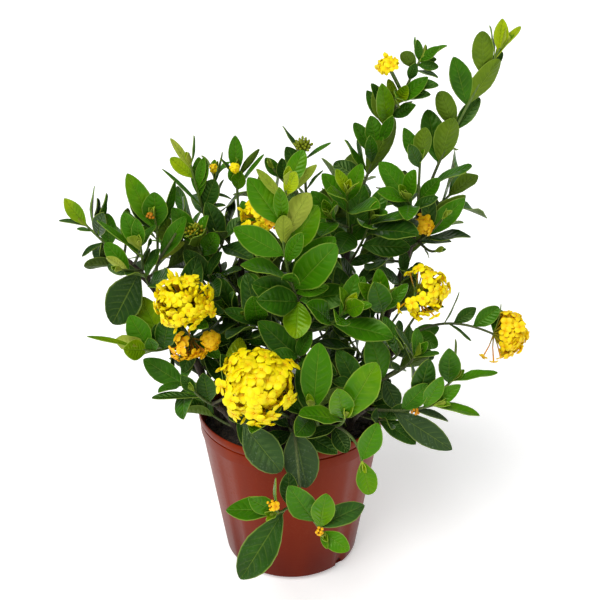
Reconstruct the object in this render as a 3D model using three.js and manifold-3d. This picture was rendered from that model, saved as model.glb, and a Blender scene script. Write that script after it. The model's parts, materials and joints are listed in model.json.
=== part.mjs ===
// A yellow-flowered ixora bush in a plastic nursery pot. Millimetres, +Z up, the origin is
// the middle of the pot's underside, -Y is the front of the plant.
//
// The bush is grown by rules. Woody stems stand in plain holes in the soil. Each leafy
// shoot has a foot on the wood, a bend and a growing tip, and bears opposite pairs of
// leaves, each pair turned a quarter turn from the one before it. A leaf that would cross
// what is already there is bent clear of it. Flower heads are domes of four-lobed florets.

import * as THREE from "three";
import { mergeVertices } from "three/addons/utils/BufferGeometryUtils.js";
import Module from "manifold-3d";

const wasm = await Module();
wasm.setup();

// ---------------------------------------------------------------- driving dimensions

const RUNNING_GAP = 0.35; // clearance kept between touching pieces

const POT = {
  height: 155,
  rimRadius: 85,
  lipRadius: 84.9, // just under the rim
  band: { radius: 84.1, low: 135, high: 146 }, // the flat band between the wall and the lip
  shoulder: { radius: 82.8, height: 134 }, // the top of the tapered wall
  corner: { radius: 63.5, height: 5 }, // where the base turns up into the wall
  baseRadius: 58.5,
  floor: 2,
  wall: 1.4,
  segments: 36,
};
const FLUTE = { angles: [45, 135, 225, 315], reach: 6, depth: 1.2 }; // degrees and millimetres
const DRAIN = { angles: [0, 45, 135, 180, 225, 315], radius: 5.5, length: 14, sides: 6, tilt: 55 };
const SOIL = { top: 142, mound: 4, moundRadius: 48, edgeClearance: 0.9, segments: 18 };
const STEM_FOOT = 104; // how low the stems reach into the soil
const LIMB = { radius: 3, thinner: 0.4, sides: 6, tolerance: 1 }; // later limbs are thinner
const TWIG = { radius: 2, sides: 4, tolerance: 1.1 };
const LEAF = {
  size: 1.06, // over the lengths in the tables
  widthShare: 0.49, // blade width over blade length
  keel: 1.4, // thickness along the middle of the blade
  root: 1, // how far the leaf stalk runs on behind the stem's axis
  stalk: 3.4,
  stalkRadius: 0.9,
  droop: 20, // how far a blade bends back between its foot and its tip, in degrees
  placedDroop: 10, // the same for a leaf with a place of its own
  clearance: 0.45, // kept round a blade when its place is chosen
  internode: 17, // stem length between two pairs
  bareFoot: 9, // stem length without leaves at the foot of a shoot
};
const FLORET = {
  corners: 12,
  tubeRadius: 0.75,
  tubeSides: 3,
  offCentre: 2.2, // the tube meets the dish under one lobe, clear of the folds
  tubeTop: -0.42,
  dish: 0.3,
  depth: 1.6,
  notch: 0.55, // reach of the gaps between the lobes over the reach of the lobes
  notchDrop: 0.6,
  lobeRise: 0.4,
  lobeHalfAngle: 0.6,
  lobe: 1.8, // how much wider a lobe is than a twelfth of the ring on each side
  step: 2.1, // difference in height between neighbours
  unevenness: 0.6,
};
const HEAD = { core: 0.5, stalkRadius: 1.6, stalkSides: 4, stalkSteps: 2 }; // core over radius

// ---------------------------------------------------------------- the plan of the bush

// Woody stems: each is a list of limbs, a limb is its start, its bend and its end. The
// first limb starts in the soil, the others at a share of the first limb's length.
const WOOD = {
  wood_left: [[[-58, -16, STEM_FOOT], [-88, -22, 270], [-146, -11, 306]]],
  wood_front_left: [[[-34, -42, STEM_FOOT], [-44, -50, 168], [-62, -56, 184]]],
  wood_back_left: [
    [[-38, 16, STEM_FOOT], [-52, 20, 230], [-73, 24, 322]],
    [0.4, [-42, 14, 250], [-44, 22, 318]],
  ],
  wood_centre: [[[4, -12, STEM_FOOT], [14, -22, 200], [10, -45, 272]]],
  wood_back: [[[-4, 34, STEM_FOOT], [4, 44, 230], [14, 30, 335]]],
  wood_tall: [[[22, 16, STEM_FOOT], [42, 24, 240], [55, 12, 335]]],
  wood_right: [[[46, 8, STEM_FOOT], [88, 20, 225], [112, 8, 343]]],
  wood_low_right: [
    [[40, -24, STEM_FOOT], [56, -40, 175], [88, -42, 232]],
    [0.38, [58, -54, 176], [64, -66, 188]],
  ],
  wood_front: [
    [[6, -44, STEM_FOOT], [4, -62, 175], [2, -82, 190]],
    [0.48, [16, -72, 170], [34, -84, 182]],
  ],
};

// Shoots: name, what it grows from, limb, place along it, bend, tip, roll of the lowest
// pair, pairs, longest leaf, youth (0 dark and old to 1 yellow-green), and how much wider
// than usual its pairs open, in degrees. A shoot that grows from another shoot belongs to
// that shoot's piece.
const SHOOTS = [
  ["far_left", "wood_left", 0, 1, [-160, -10, 320], [-179, -10, 342], 80, 0, 40, 0.5],
  ["left_rosette", "wood_left", 0, 0.82, [-121, -30, 302], [-120, -46, 338], 0, 0, 42, 0.6],
  ["left_front", "left_rosette", 0, 0.25, [-130, -42, 303], [-140, -64, 316], 60, 0, 40, 0.5],
  ["left_top", "wood_left", 0, 0.72, [-110, -2, 315], [-114, -16, 354], 90, 0, 46, 0.6],
  ["left_inner", "left_top", 0, 0.3, [-100, -16, 318], [-86, -28, 342], 20, 0, 50, 0.3],
  ["left_low", "wood_left", 0, 0.46, [-112, -44, 226], [-134, -60, 248], 90, 0, 42, 0.6],
  ["bloom_left_stem", "wood_left", 0, 0.58, [-94, -48, 252], [-84, -58, 268], 30, 1, 48, 0.4],
  ["bloom_small_stem", "bloom_left_stem", 0, 0.25, [-80, -40, 238], [-78, -46, 242], 60, 1, 42, 0.3],
  ["low_left", "wood_front_left", 0, 1, [-74, -64, 194], [-84, -78, 220], 0, 0, 38, 0.4],
  ["back_left_tall", "wood_back_left", 0, 1, [-80, 16, 355], [-85, 10, 392], 45, 0, 44, 0.8],
  ["back_left_side", "back_left_tall", 0, 0.15, [-68, 32, 345], [-64, 42, 372], 20, 1, 42, 0.3],
  ["back_left_inner", "wood_back_left", 1, 1, [-46, 24, 348], [-45, 20, 384], 40, 0, 44, 0.4],
  ["bud_left", "wood_back_left", 0, 0.7, [-78, 0, 300], [-80, -15, 332], 50, 2, 46, 0.4],
  ["bloom_back_stem", "wood_back_left", 1, 0.7, [-36, 0, 310], [-31, -12, 328], 20, 1, 48, 0.2],
  ["centre", "wood_centre", 0, 1, [-12, -62, 326], [2, -86, 406], 0, 0, 56, 0.7],
  ["centre_back", "wood_back", 0, 1, [13, 20, 362], [10, 15, 400], 30, 0, 42, 0.3],
  ["centre_back_left", "centre_back", 0, 0.1, [-6, 26, 356], [-22, 20, 384], 60, 0, 44, 0.3],
  ["young", "wood_tall", 0, 0.85, [48, -14, 334], [45, -36, 378], 45, 3, 40, 0.9],
  ["young_side", "young", 0, 0.4, [38, -22, 336], [27, -34, 356], 10, 2, 42, 0.5],
  ["tall_branch", "wood_tall", 0, 1, [70, 10, 395], [109, -6, 481], 35, 0, 48, 0.5, -12],
  ["tallest_branch", "wood_right", 0, 1, [125, 8, 395], [172, -7, 492], 60, 0, 54, 0.6, -14],
  ["right_upright", "wood_right", 0, 0.94, [106, -4, 358], [105, -15, 402], 80, 0, 48, 0.4],
  ["right_front", "right_upright", 0, 0.2, [100, -18, 348], [88, -36, 372], 30, 2, 50, 0.4],
  ["right_inner", "wood_tall", 0, 0.72, [62, -16, 318], [66, -48, 360], 50, 3, 46, 0.3],
  ["right_side", "wood_right", 0, 0.84, [120, -4, 322], [132, -20, 352], 20, 0, 48, 0.3],
  ["right_low_side", "right_side", 0, 0.2, [116, -14, 308], [130, -26, 318], 70, 0, 46, 0.2],
  ["bloom_right_stem", "wood_low_right", 0, 1, [98, -46, 255], [106, -48, 270], 20, 1, 46, 0.2],
  ["mid_right", "wood_low_right", 0, 0.8, [78, -48, 255], [74, -56, 298], 60, 1, 46, 0.5],
  ["arm_right", "wood_low_right", 0, 0.93, [118, -26, 268], [176, -38, 242], 20, 0, 36, 0.2],
  ["mid_front", "wood_centre", 0, 0.82, [34, -58, 258], [50, -74, 294], 45, 3, 46, 0.7],
  ["low_right_back", "wood_low_right", 0, 0.55, [76, -30, 212], [74, -22, 246], 45, 1, 46, 0.1],
  ["low_right_fore", "wood_low_right", 0, 0.7, [96, -60, 220], [108, -68, 250], 10, 1, 42, 0.1],
  ["arm_low_right", "wood_low_right", 1, 1, [95, -84, 194], [132, -94, 214], 10, 0, 50, 0.3],
  ["arm_low_side", "arm_low_right", 0, 0.5, [120, -76, 204], [144, -72, 232], 60, 0, 46, 0.4],
  ["front_right", "wood_front", 1, 1, [42, -102, 192], [46, -116, 222], 90, 0, 56, 0.7],
  ["front_middle", "wood_front", 1, 0.75, [22, -98, 192], [14, -108, 228], 20, 0, 54, 0.6],
  ["front_edge", "front_right", 0, 0.3, [56, -104, 184], [60, -113, 150], 40, 0, 44, 0.6],
  ["hanging", "wood_front", 0, 0.96, [6, -118, 176], [10, -116, 122], 40, 0, 0, 0.3],
  ["hanging_left", "hanging", 0, 0.84, [0, -122, 126], [-20, -140, 134], 20, 0, 48, 0.5, 26],
  ["hanging_right", "hanging", 0, 0.97, [22, -124, 114], [30, -150, 116], 30, 0, 46, 0.6, 24],
  ["bloom_front_stem", "wood_front", 0, 0.85, [-8, -88, 196], [-15, -92, 206], 30, 2, 54, 0.4],
  ["rim", "bloom_front_stem", 0, 0.3, [-22, -92, 190], [-41, -88, 187], 0, 0, 0, 0.1],
  ["inner_left", "wood_centre", 0, 0.55, [-20, -34, 240], [-38, -40, 268], 30, 2, 54, 0.1],
  ["inner_middle", "wood_centre", 0, 0.7, [-8, -10, 262], [-18, -16, 308], 60, 2, 54, 0.1],
  ["inner_right", "wood_tall", 0, 0.5, [48, -14, 250], [46, -22, 278], 20, 2, 54, 0.1],
  ["inner_low", "low_left", 0, 0.2, [-48, -66, 200], [-48, -70, 226], 45, 2, 50, 0.1],
  ["inner_back", "wood_back_left", 0, 0.5, [-40, -6, 230], [-62, -14, 262], 15, 2, 52, 0.1],
  ["back_far_left", "wood_back_left", 0, 0.55, [-92, 50, 270], [-112, 58, 300], 20, 3, 50, 0.4],
  ["back_left_low", "wood_back_left", 0, 0.3, [-70, 60, 210], [-92, 82, 232], 50, 2, 52, 0.3],
  ["back_left_shade", "back_left_low", 0, 0.35, [-60, 54, 218], [-50, 56, 256], 20, 2, 54, 0.1],
  ["back_middle", "wood_back", 0, 0.75, [0, 70, 310], [-30, 90, 336], 40, 2, 52, 0.5],
  ["back_middle_low", "wood_back", 0, 0.4, [-8, 74, 220], [-36, 106, 240], 10, 2, 52, 0.3],
  ["back_shade", "back_middle_low", 0, 0.35, [-14, 68, 234], [-20, 62, 272], 35, 2, 54, 0.1],
  ["back_mid", "back_middle", 0, 0.25, [-16, 52, 292], [-38, 50, 314], 70, 2, 50, 0.1],
  ["back_right_top", "wood_tall", 0, 0.8, [44, 60, 320], [54, 88, 346], 30, 3, 52, 0.5],
  ["back_right_low", "wood_tall", 0, 0.4, [36, 66, 215], [44, 106, 244], 60, 2, 52, 0.3],
  ["back_far_right", "wood_right", 0, 0.7, [112, 46, 290], [126, 64, 316], 40, 3, 50, 0.5],
  ["back_right_side", "wood_right", 0, 0.45, [98, 50, 215], [116, 72, 236], 20, 2, 52, 0.3],
];

// The ways a placed leaf can turn its upper face.
const FACES = {
  front: [0, -1, 0.5],
  back: [0, 1, 0.3],
  left: [-1, -0.3, 0.3],
  right: [1, -0.3, 0.3],
  up: [0, -0.2, 1],
};

// Leaves with a place of their own: shoot, place along it, where the tip reaches, the way
// the upper face looks, width over the usual width, youth.
const PLACED_LEAVES = [
  ["tallest_branch", 0.16, [149, -4, 381], "up", 1, 0.35],
  ["tallest_branch", 0.33, [131, -2, 420], "back", 1.15, 0.4],
  ["tallest_branch", 0.32, [113, 19, 422], "front", 1, 0.3],
  ["tallest_branch", 0.43, [140, 22, 387], "up", 1, 0.6],
  ["tallest_branch", 0.55, [119, -1, 441], "back", 1, 0.35],
  ["tallest_branch", 0.54, [153, 8, 434], "front", 0.85, 0.15],
  ["tallest_branch", 0.69, [129, 4, 467], "front", 1, 0.25],
  ["tallest_branch", 0.70, [163, -7, 467], "back", 0.9, 0.5],
  ["tallest_branch", 0.85, [148, -6, 488], "back", 1.05, 0.4],
  ["tallest_branch", 0.86, [168, 8, 470], "front", 0.8, 0.15],
  ["tallest_branch", 0.94, [178, -3, 491], "left", 0.9, 0.95],
  ["tallest_branch", 0.95, [155, 2, 491], "right", 0.6, 0.5],
  ["tallest_branch", 0.98, [163, -5, 497], "front", 1.05, 1.0],
  ["tall_branch", 0.26, [84, -2, 420], "back", 0.75, 0.35],
  ["tall_branch", 0.24, [45, 10, 399], "right", 0.7, 0.4],
  ["tall_branch", 0.28, [56, 17, 399], "left", 0.6, 0.3],
  ["tall_branch", 0.23, [37, 25, 375], "front", 1.2, 0.15],
  ["tall_branch", 0.41, [52, 6, 414], "front", 0.8, 0.35],
  ["tall_branch", 0.45, [65, 0, 421], "front", 1.1, 0.4],
  ["tall_branch", 0.59, [68, -2, 444], "back", 0.9, 0.45],
  ["tall_branch", 0.61, [62, 12, 439], "front", 0.9, 0.2],
  ["tall_branch", 0.73, [78, 1, 450], "front", 0.8, 0.85],
  ["tall_branch", 0.74, [90, -3, 449], "front", 1.1, 0.9],
  ["tall_branch", 0.79, [115, 6, 443], "up", 0.7, 0.3],
  ["tall_branch", 0.77, [109, 15, 433], "up", 0.8, 0.2],
  ["tall_branch", 0.95, [87, -11, 473], "back", 1.2, 0.3],
  ["tall_branch", 0.94, [117, -3, 452], "up", 0.9, 0.35],
  ["tall_branch", 0.99, [115, -2, 466], "front", 1, 0.3],
  ["tall_branch", 0.99, [122, -1, 477], "up", 0.75, 0.5],
  ["tall_branch", 0.99, [97, -2, 483], "left", 0.7, 0.4],
  ["tall_branch", 0.88, [98, -7, 464], "front", 1.15, 0.25],
  ["tall_branch", 0.77, [83, -26, 456], "front", 0.9, 0.45],
  ["tall_branch", 0.75, [61, 4, 449], "right", 0.45, 0.2],
  ["tall_branch", 0.69, [99, 8, 431], "up", 0.7, 0.1],
  ["right_upright", 0.99, [107, -17, 416], "back", 1.05, 0.45],
  ["right_upright", 0.95, [91, -10, 414], "front", 0.85, 0.35],
  ["right_upright", 0.91, [86, -16, 402], "front", 0.9, 0.25],
  ["centre", 0.98, [11, -70, 412], "front", 1.05, 0.7],
  ["centre", 0.94, [2, -84, 403], "front", 1.1, 1.0],
  ["centre", 0.93, [22, -76, 401], "back", 0.6, 0.85],
  ["centre", 0.89, [-24, -74, 399], "back", 0.55, 0.85],
  ["centre", 0.71, [-30, -76, 391], "front", 1.05, 0.65],
  ["centre", 0.61, [12, -83, 382], "back", 0.9, 0.95],
  ["centre", 0.47, [22, -67, 368], "front", 1.0, 0.7],
  ["centre", 0.47, [-43, -65, 349], "front", 1.05, 0.5],
  ["centre", 0.27, [-39, -59, 316], "up", 1.15, 0.35],
  ["centre", 0.10, [-30, -63, 301], "front", 1.3, 0.3],
  ["centre", 0.25, [36, -58, 339], "front", 1.1, 0.45],
  ["centre", 0.20, [22, -67, 330], "back", 0.7, 0.7],
  ["centre", 0.07, [5, -72, 257], "front", 1.6, 0.75],
  ["centre", 0.07, [50, -55, 290], "front", 1.1, 0.4],
  ["centre", 0.14, [31, -68, 301], "front", 0.7, 0.5],
  ["rim", 0.95, [-7, -110, 155], "front", 1.3, 0.05],
  ["hanging", 0.13, [14, -106, 136], "front", 1.3, 0.0],
  ["hanging_left", 0.82, [-52, -124, 127], "up", 1.2, 0.45],
  ["hanging_left", 0.98, [-11, -131, 164], "left", 0.7, 0.6],
  ["hanging_left", 0.99, [-32, -139, 150], "front", 1.1, 0.55],
  ["hanging_left", 0.73, [-41, -136, 66], "front", 0.9, 0.1],
  ["hanging_left", 0.52, [-1, -114, 157], "front", 1.2, 0.1],
  ["hanging_right", 0.55, [-1, -129, 155], "front", 1.15, 0.4],
  ["hanging_right", 0.80, [29, -137, 153], "front", 1.15, 0.6],
  ["hanging_right", 0.75, [61, -121, 130], "up", 1.3, 0.15],
  ["hanging_right", 0.99, [50, -142, 106], "front", 1.35, 0.65],
  ["hanging_right", 0.95, [30, -148, 108], "front", 0.8, 0.6],
  ["front_right", 0.99, [67, -112, 257], "front", 1.05, 0.65],
  ["front_right", 0.83, [4, -116, 218], "up", 1.1, 0.6],
  ["front_right", 0.94, [37, -121, 239], "front", 1.2, 0.6],
  ["front_right", 0.10, [47, -103, 169], "front", 1.4, 0.0],
  ["front_right", 0.27, [8, -96, 192], "up", 1.0, 0.1],
  ["front_middle", 0.9, [26, -92, 263], "front", 1.0, 0.45],
  ["front_middle", 0.8, [16, -117, 244], "front", 1.0, 0.65],
  ["front_edge", 0.99, [70, -111, 202], "front", 1.1, 0.6],
  ["front_edge", 0.99, [66, -115, 136], "front", 1.3, 0.65],
  ["far_left", 0.99, [-185, -13, 356], "front", 1.0, 0.85],
  ["far_left", 0.99, [-193, -8, 335], "up", 0.6, 0.15],
  ["far_left", 0.79, [-177, -14, 330], "up", 1.1, 0.45],
  ["far_left", 0.70, [-158, -12, 356], "right", 0.8, 0.1],
  ["far_left", 0.75, [-151, -7, 363], "left", 0.5, 0.35],
  ["far_left", 0.40, [-175, -16, 306], "up", 0.9, 0.0],
  ["far_left", 0.22, [-157, -7, 342], "front", 1.2, 0.3],
  ["left_rosette", 0.90, [-133, -35, 351], "front", 1.0, 0.45],
  ["left_rosette", 0.97, [-122, -40, 348], "front", 1.0, 0.4],
  ["left_rosette", 0.90, [-125, -46, 339], "back", 1.1, 0.8],
  ["left_rosette", 0.74, [-154, -38, 346], "up", 0.35, 0.5],
  ["left_rosette", 0.56, [-113, -34, 329], "right", 0.8, 0.1],
  ["left_front", 0.56, [-149, -39, 327], "front", 1.1, 0.5],
  ["left_front", 0.65, [-146, -52, 320], "back", 0.8, 0.95],
  ["left_front", 0.23, [-152, -25, 301], "front", 1.1, 0.05],
  ["left_front", 0.10, [-151, -31, 250], "front", 1.35, 0.0],
  ["left_top", 0.79, [-111, -12, 361], "front", 1.5, 0.4],
  ["left_top", 0.74, [-134, -2, 374], "front", 0.8, 0.65],
  ["left_top", 0.69, [-134, 3, 356], "front", 0.8, 0.05],
  ["left_top", 0.84, [-113, 12, 366], "front", 0.9, 0.05],
  ["left_top", 0.72, [-100, -2, 371], "right", 0.55, 0.3],
  ["left_top", 0.60, [-121, -13, 336], "up", 1.0, 0.35],
  ["left_inner", 0.11, [-86, -15, 341], "front", 0.75, 0.3],
  ["left_inner", 0.06, [-93, -18, 322], "back", 0.6, 0.75],
  ["left_low", 0.82, [-146, -51, 245], "back", 1.5, 0.9],
  ["left_low", 0.74, [-135, -45, 263], "front", 1.3, 0.4],
  ["left_low", 0.95, [-167, -51, 254], "up", 0.3, 0.75],
  ["left_low", 0.63, [-123, -50, 247], "front", 1.5, 0.35],
  ["left_low", 0.41, [-113, -40, 254], "front", 1.4, 0.15],
  ["left_low", 0.39, [-128, -30, 273], "front", 1.0, 0.9],
  ["left_low", 0.31, [-102, -35, 206], "right", 0.7, 0.0],
  ["low_left", 0.68, [-116, -67, 199], "up", 0.5, 0.2],
  ["low_left", 0.88, [-89, -72, 223], "front", 1.2, 0.15],
  ["low_left", 0.41, [-90, -68, 209], "front", 1.1, 0.35],
  ["low_left", 0.30, [-77, -69, 219], "front", 1.3, 0.1],
  ["back_left_tall", 0.90, [-99, 15, 399], "back", 0.5, 0.95],
  ["back_left_tall", 0.97, [-79, 12, 402], "right", 0.4, 0.6],
  ["back_left_tall", 0.74, [-100, 11, 382], "front", 1.0, 0.9],
  ["back_left_tall", 0.38, [-82, 13, 381], "front", 0.85, 0.6],
  ["back_left_tall", 0.54, [-69, 22, 383], "front", 0.65, 0.55],
  ["back_left_tall", 0.24, [-108, 18, 372], "up", 0.3, 0.4],
  ["back_left_tall", 0.18, [-65, 17, 362], "front", 1.3, 0.1],
  ["back_left_tall", 0.18, [-58, 13, 352], "up", 0.9, 0.15],
  ["back_left_side", 0.68, [-58, 35, 382], "right", 0.4, 0.3],
  ["back_left_side", 0.56, [-51, 28, 342], "up", 0.5, 0.3],
  ["back_left_inner", 0.92, [-46, 24, 399], "front", 0.85, 0.45],
  ["back_left_inner", 0.85, [-59, 22, 380], "up", 0.5, 0.3],
  ["back_left_inner", 0.85, [-26, 26, 387], "back", 0.45, 0.3],
  ["back_left_inner", 0.62, [-22, 20, 384], "up", 0.5, 0.4],
  ["back_left_inner", 0.73, [-51, 17, 374], "front", 1.3, 0.55],
  ["back_left_inner", 0.62, [-35, 17, 375], "front", 1.3, 0.6],
  ["centre_back", 0.82, [-6, 20, 408], "right", 0.45, 0.3],
  ["centre_back", 0.88, [34, 16, 395], "up", 0.6, 0.4],
  ["centre_back", 0.54, [-3, 17, 390], "front", 1.1, 0.1],
  ["centre_back", 0.30, [28, 27, 368], "left", 0.5, 0.2],
  ["centre_back_left", 0.69, [-21, 23, 380], "front", 1.1, 0.2],
  ["centre_back_left", 0.57, [-7, 22, 380], "front", 1.2, 0.1],
  ["arm_low_right", 0.35, [135, -89, 162], "front", 0.8, 0.0],
  ["arm_low_right", 0.49, [111, -87, 224], "front", 1.1, 0.4],
  ["arm_low_right", 0.65, [132, -78, 183], "up", 0.6, 0.05],
  ["arm_low_right", 0.83, [114, -91, 238], "front", 0.9, 0.6],
  ["arm_low_right", 0.90, [138, -87, 223], "front", 0.9, 0.65],
  ["arm_low_right", 0.98, [155, -90, 196], "up", 0.7, 0.6],
  ["arm_low_side", 0.23, [103, -73, 247], "right", 0.9, 0.05],
  ["arm_low_side", 0.90, [128, -77, 251], "front", 1.2, 0.25],
  ["arm_low_side", 0.96, [133, -72, 254], "right", 0.5, 0.1],
  ["arm_low_side", 0.98, [170, -74, 227], "up", 0.6, 0.5],
  ["low_right_fore", 0.20, [92, -57, 182], "front", 1.3, 0.0],
  ["low_right_fore", 0.84, [86, -61, 264], "left", 0.6, 0.1],
  ["mid_right", 0.76, [71, -55, 311], "front", 0.8, 0.5],
  ["mid_right", 0.81, [86, -49, 304], "front", 0.8, 0.6],
  ["mid_right", 0.91, [55, -58, 310], "front", 0.8, 0.7],
  ["right_side", 0.35, [146, -1, 355], "back", 0.9, 0.35],
  ["right_side", 0.53, [114, 0, 359], "front", 0.8, 0.1],
  ["right_side", 0.19, [133, 2, 327], "up", 0.45, 0.4],
  ["right_side", 0.16, [139, 9, 310], "up", 0.8, 0.2],
  ["right_side", 0.2, [86, -8, 315], "front", 0.8, 0.15],
  ["right_low_side", 0.28, [118, -10, 302], "right", 1.0, 0.0],
  ["arm_right", 0.57, [142, -29, 279], "right", 0.45, 0.1],
  ["arm_right", 0.65, [157, -30, 265], "front", 1.1, 0.15],
  ["arm_right", 0.61, [154, -37, 237], "right", 0.5, 0.15],
  ["arm_right", 0.81, [175, -35, 268], "front", 1.2, 0.3],
  ["arm_right", 0.97, [176, -32, 270], "right", 0.5, 0.2],
  ["arm_right", 0.97, [188, -39, 224], "right", 0.6, 0.2],
];

// Flower heads: name, the shoot it stands on, place along it, the middle of the dome, the
// way it faces, dome radius, how far the dome spreads (degrees), florets, floret radius.
const BLOOMS = [
  ["bloom_front", "bloom_front_stem", 1, [-20, -108, 232], [-0.15, -0.75, 0.65], 31, 100, 22, 8.8],
  ["bloom_left", "bloom_left_stem", 1, [-80, -72, 290], [-0.1, -0.7, 0.7], 24, 95, 14, 8.2],
  ["bloom_small", "bloom_small_stem", 1, [-80, -60, 246], [0.1, -0.85, -0.3], 15, 80, 6, 7.4],
  ["bloom_back", "bloom_back_stem", 1, [-29, -22, 342], [-0.3, -0.7, 0.65], 16, 90, 7, 7.4],
  ["bloom_right", "bloom_right_stem", 1, [110, -58, 288], [0.25, -0.8, 0.5], 23, 85, 12, 8.0],
  ["bloom_far_right", "arm_right", 1, [184, -38, 246], [0.97, -0.15, 0.1], 20, 88, 10, 7.6],
  ["bloom_top", "tall_branch", 0.8, [76, -8, 462], [-0.55, -0.3, 0.78], 12, 85, 5, 6.6],
];

// ---------------------------------------------------------------- small helpers

const UP = new THREE.Vector3(0, 0, 1);
const SHADE_AXIS = new THREE.Vector3(0, 60, 0); // blades turn away from this upright line
const PAIR_REFERENCE = new THREE.Vector3(0, 0.35, 1).normalize();
const vector = (point) => new THREE.Vector3(...point);
const radians = THREE.MathUtils.degToRad;

// The same stream of numbers from the same seed, each between 0 and 1.
function drawer(seed) {
  const modulus = 2147483647;
  let state = (seed * 7919 + 104729) % modulus;
  return () => {
    state = (state * 48271) % modulus;
    return state / modulus;
  };
}

function curvePoint(curve, t) {
  const [a, b, c] = curve.map(vector);
  return a
    .multiplyScalar((1 - t) * (1 - t))
    .addScaledVector(b, 2 * t * (1 - t))
    .addScaledVector(c, t * t);
}

function curveTangent(curve, t) {
  const [a, b, c] = curve.map(vector);
  return b
    .clone()
    .sub(a)
    .multiplyScalar(1 - t)
    .addScaledVector(c.sub(b), t)
    .normalize();
}

function curveLength(curve) {
  let length = 0;
  for (let i = 1; i <= 16; i++) {
    length += curvePoint(curve, i / 16).distanceTo(curvePoint(curve, (i - 1) / 16));
  }
  return length;
}

function solidOf(geometry) {
  const bare = geometry.clone();
  bare.deleteAttribute("normal");
  bare.deleteAttribute("uv");
  const merged = mergeVertices(bare, 1e-4);
  return new wasm.Manifold(
    new wasm.Mesh({
      numProp: 3,
      vertProperties: merged.attributes.position.array,
      triVerts: new Uint32Array(merged.index.array),
    }),
  );
}

function geometryOf(solid) {
  const mesh = solid.getMesh();
  const positions = new Float32Array(mesh.numVert * 3);
  for (let i = 0; i < mesh.numVert; i++) {
    positions.set(mesh.vertProperties.subarray(i * mesh.numProp, i * mesh.numProp + 3), i * 3);
  }
  return new THREE.BufferGeometry()
    .setAttribute("position", new THREE.BufferAttribute(positions, 3))
    .setIndex(new THREE.BufferAttribute(mesh.triVerts, 1));
}

const fuse = (solids) => wasm.Manifold.union(solids);

// How many straight steps keep a bar within that distance of its curve.
function stepsFor(curve, tolerance) {
  const turn = curveTangent(curve, 0).angleTo(curveTangent(curve, 1));
  return Math.max(2, Math.ceil(Math.sqrt((curveLength(curve) * turn) / (8 * tolerance))));
}

// A bar of that radius along a three-point curve, drawn out a little at its far end. One
// flat of its section looks the way of the side vector, where one is given.
function barAlong(curve, radius, sides, steps, longer = 0, side = null) {
  const end = curvePoint(curve, 1).addScaledVector(curveTangent(curve, 1), longer);
  const path = new THREE.QuadraticBezierCurve3(vector(curve[0]), vector(curve[1]), end);
  const frames = path.computeFrenetFrames(steps, false);
  const late = Math.round(0.7 * steps);
  const [normal, binormal] = [frames.normals[late], frames.binormals[late]];
  const first = side ? Math.PI / sides + Math.atan2(side.dot(binormal), side.dot(normal)) : 0;
  const section = new THREE.Shape();
  for (let i = 0; i < sides; i++) {
    const angle = first + (2 * Math.PI * i) / sides;
    const [x, y] = [radius * Math.cos(angle), radius * Math.sin(angle)];
    if (i === 0) section.moveTo(x, y);
    else section.lineTo(x, y);
  }
  section.closePath();
  return solidOf(
    new THREE.ExtrudeGeometry(section, { steps, extrudePath: path, bevelEnabled: false }),
  );
}

// ---------------------------------------------------------------- pot and soil

// Presses four shallow upright flutes into the wall, from its corner up to the band.
function pressFlutes(geometry) {
  const positions = geometry.attributes.position;
  for (let i = 0; i < positions.count; i++) {
    const point = new THREE.Vector3().fromBufferAttribute(positions, i);
    if (point.z < POT.corner.height || point.z >= POT.band.low) continue;
    const degrees = (THREE.MathUtils.radToDeg(Math.atan2(point.y, point.x)) + 360) % 360;
    if (!FLUTE.angles.some((flute) => Math.abs(degrees - flute) < FLUTE.reach)) continue;
    const radius = Math.hypot(point.x, point.y);
    const share = (radius - FLUTE.depth) / radius;
    positions.setXY(i, point.x * share, point.y * share);
  }
  return geometry;
}

// A body of revolution from its profile of radius and height.
function turned(profile, segments) {
  const points = profile.map(([radius, height]) => new THREE.Vector2(radius, height));
  return new THREE.LatheGeometry(points, segments).rotateX(Math.PI / 2);
}

function wallRadius(height) {
  const { corner, shoulder } = POT;
  const share = (height - corner.height) / (shoulder.height - corner.height);
  return corner.radius + share * (shoulder.radius - corner.radius);
}

function potSolid() {
  const { height, rimRadius, lipRadius, band, shoulder, corner, baseRadius, floor, wall } = POT;
  const outside = [
    [0, 0],
    [baseRadius, 0],
    [corner.radius, corner.height],
    [shoulder.radius, shoulder.height],
    [band.radius - 0.6, band.low],
    [band.radius, band.high],
    [lipRadius, band.high + 1],
    [rimRadius, height],
  ];
  const inside = [
    [rimRadius - wall, height],
    [band.radius - wall, band.high],
    [wallRadius(shoulder.height - 1) - wall, shoulder.height - 1],
    [wallRadius(corner.height + 1) - wall, corner.height + 1],
    [baseRadius - 1, floor],
    [0, floor],
  ];
  let pot = solidOf(pressFlutes(turned([...outside, ...inside], POT.segments)));
  for (const degrees of DRAIN.angles) {
    const hole = new THREE.CylinderGeometry(DRAIN.radius, DRAIN.radius, DRAIN.length, DRAIN.sides)
      .rotateX(radians(DRAIN.tilt))
      .translate(0, DRAIN.radius / 2 - corner.radius, DRAIN.radius / 2)
      .rotateZ(radians(degrees + 90));
    pot = pot.subtract(solidOf(hole));
  }
  return pot;
}

function soilSolid() {
  const inside = (height) => wallRadius(height) - POT.wall - SOIL.edgeClearance;
  const low = POT.floor + RUNNING_GAP;
  const shoulder = POT.shoulder.height - 2;
  const profile = [
    [0, low],
    [POT.baseRadius - 2, low],
    [inside(POT.corner.height + 1.5), POT.corner.height + 1.5],
    [inside(shoulder), shoulder],
    [inside(shoulder) - 1, SOIL.top - SOIL.mound],
    [SOIL.moundRadius, SOIL.top + SOIL.mound],
    [0, SOIL.top + 1],
  ];
  return solidOf(pressFlutes(turned(profile, SOIL.segments)));
}

// ---------------------------------------------------------------- wood and twigs

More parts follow.
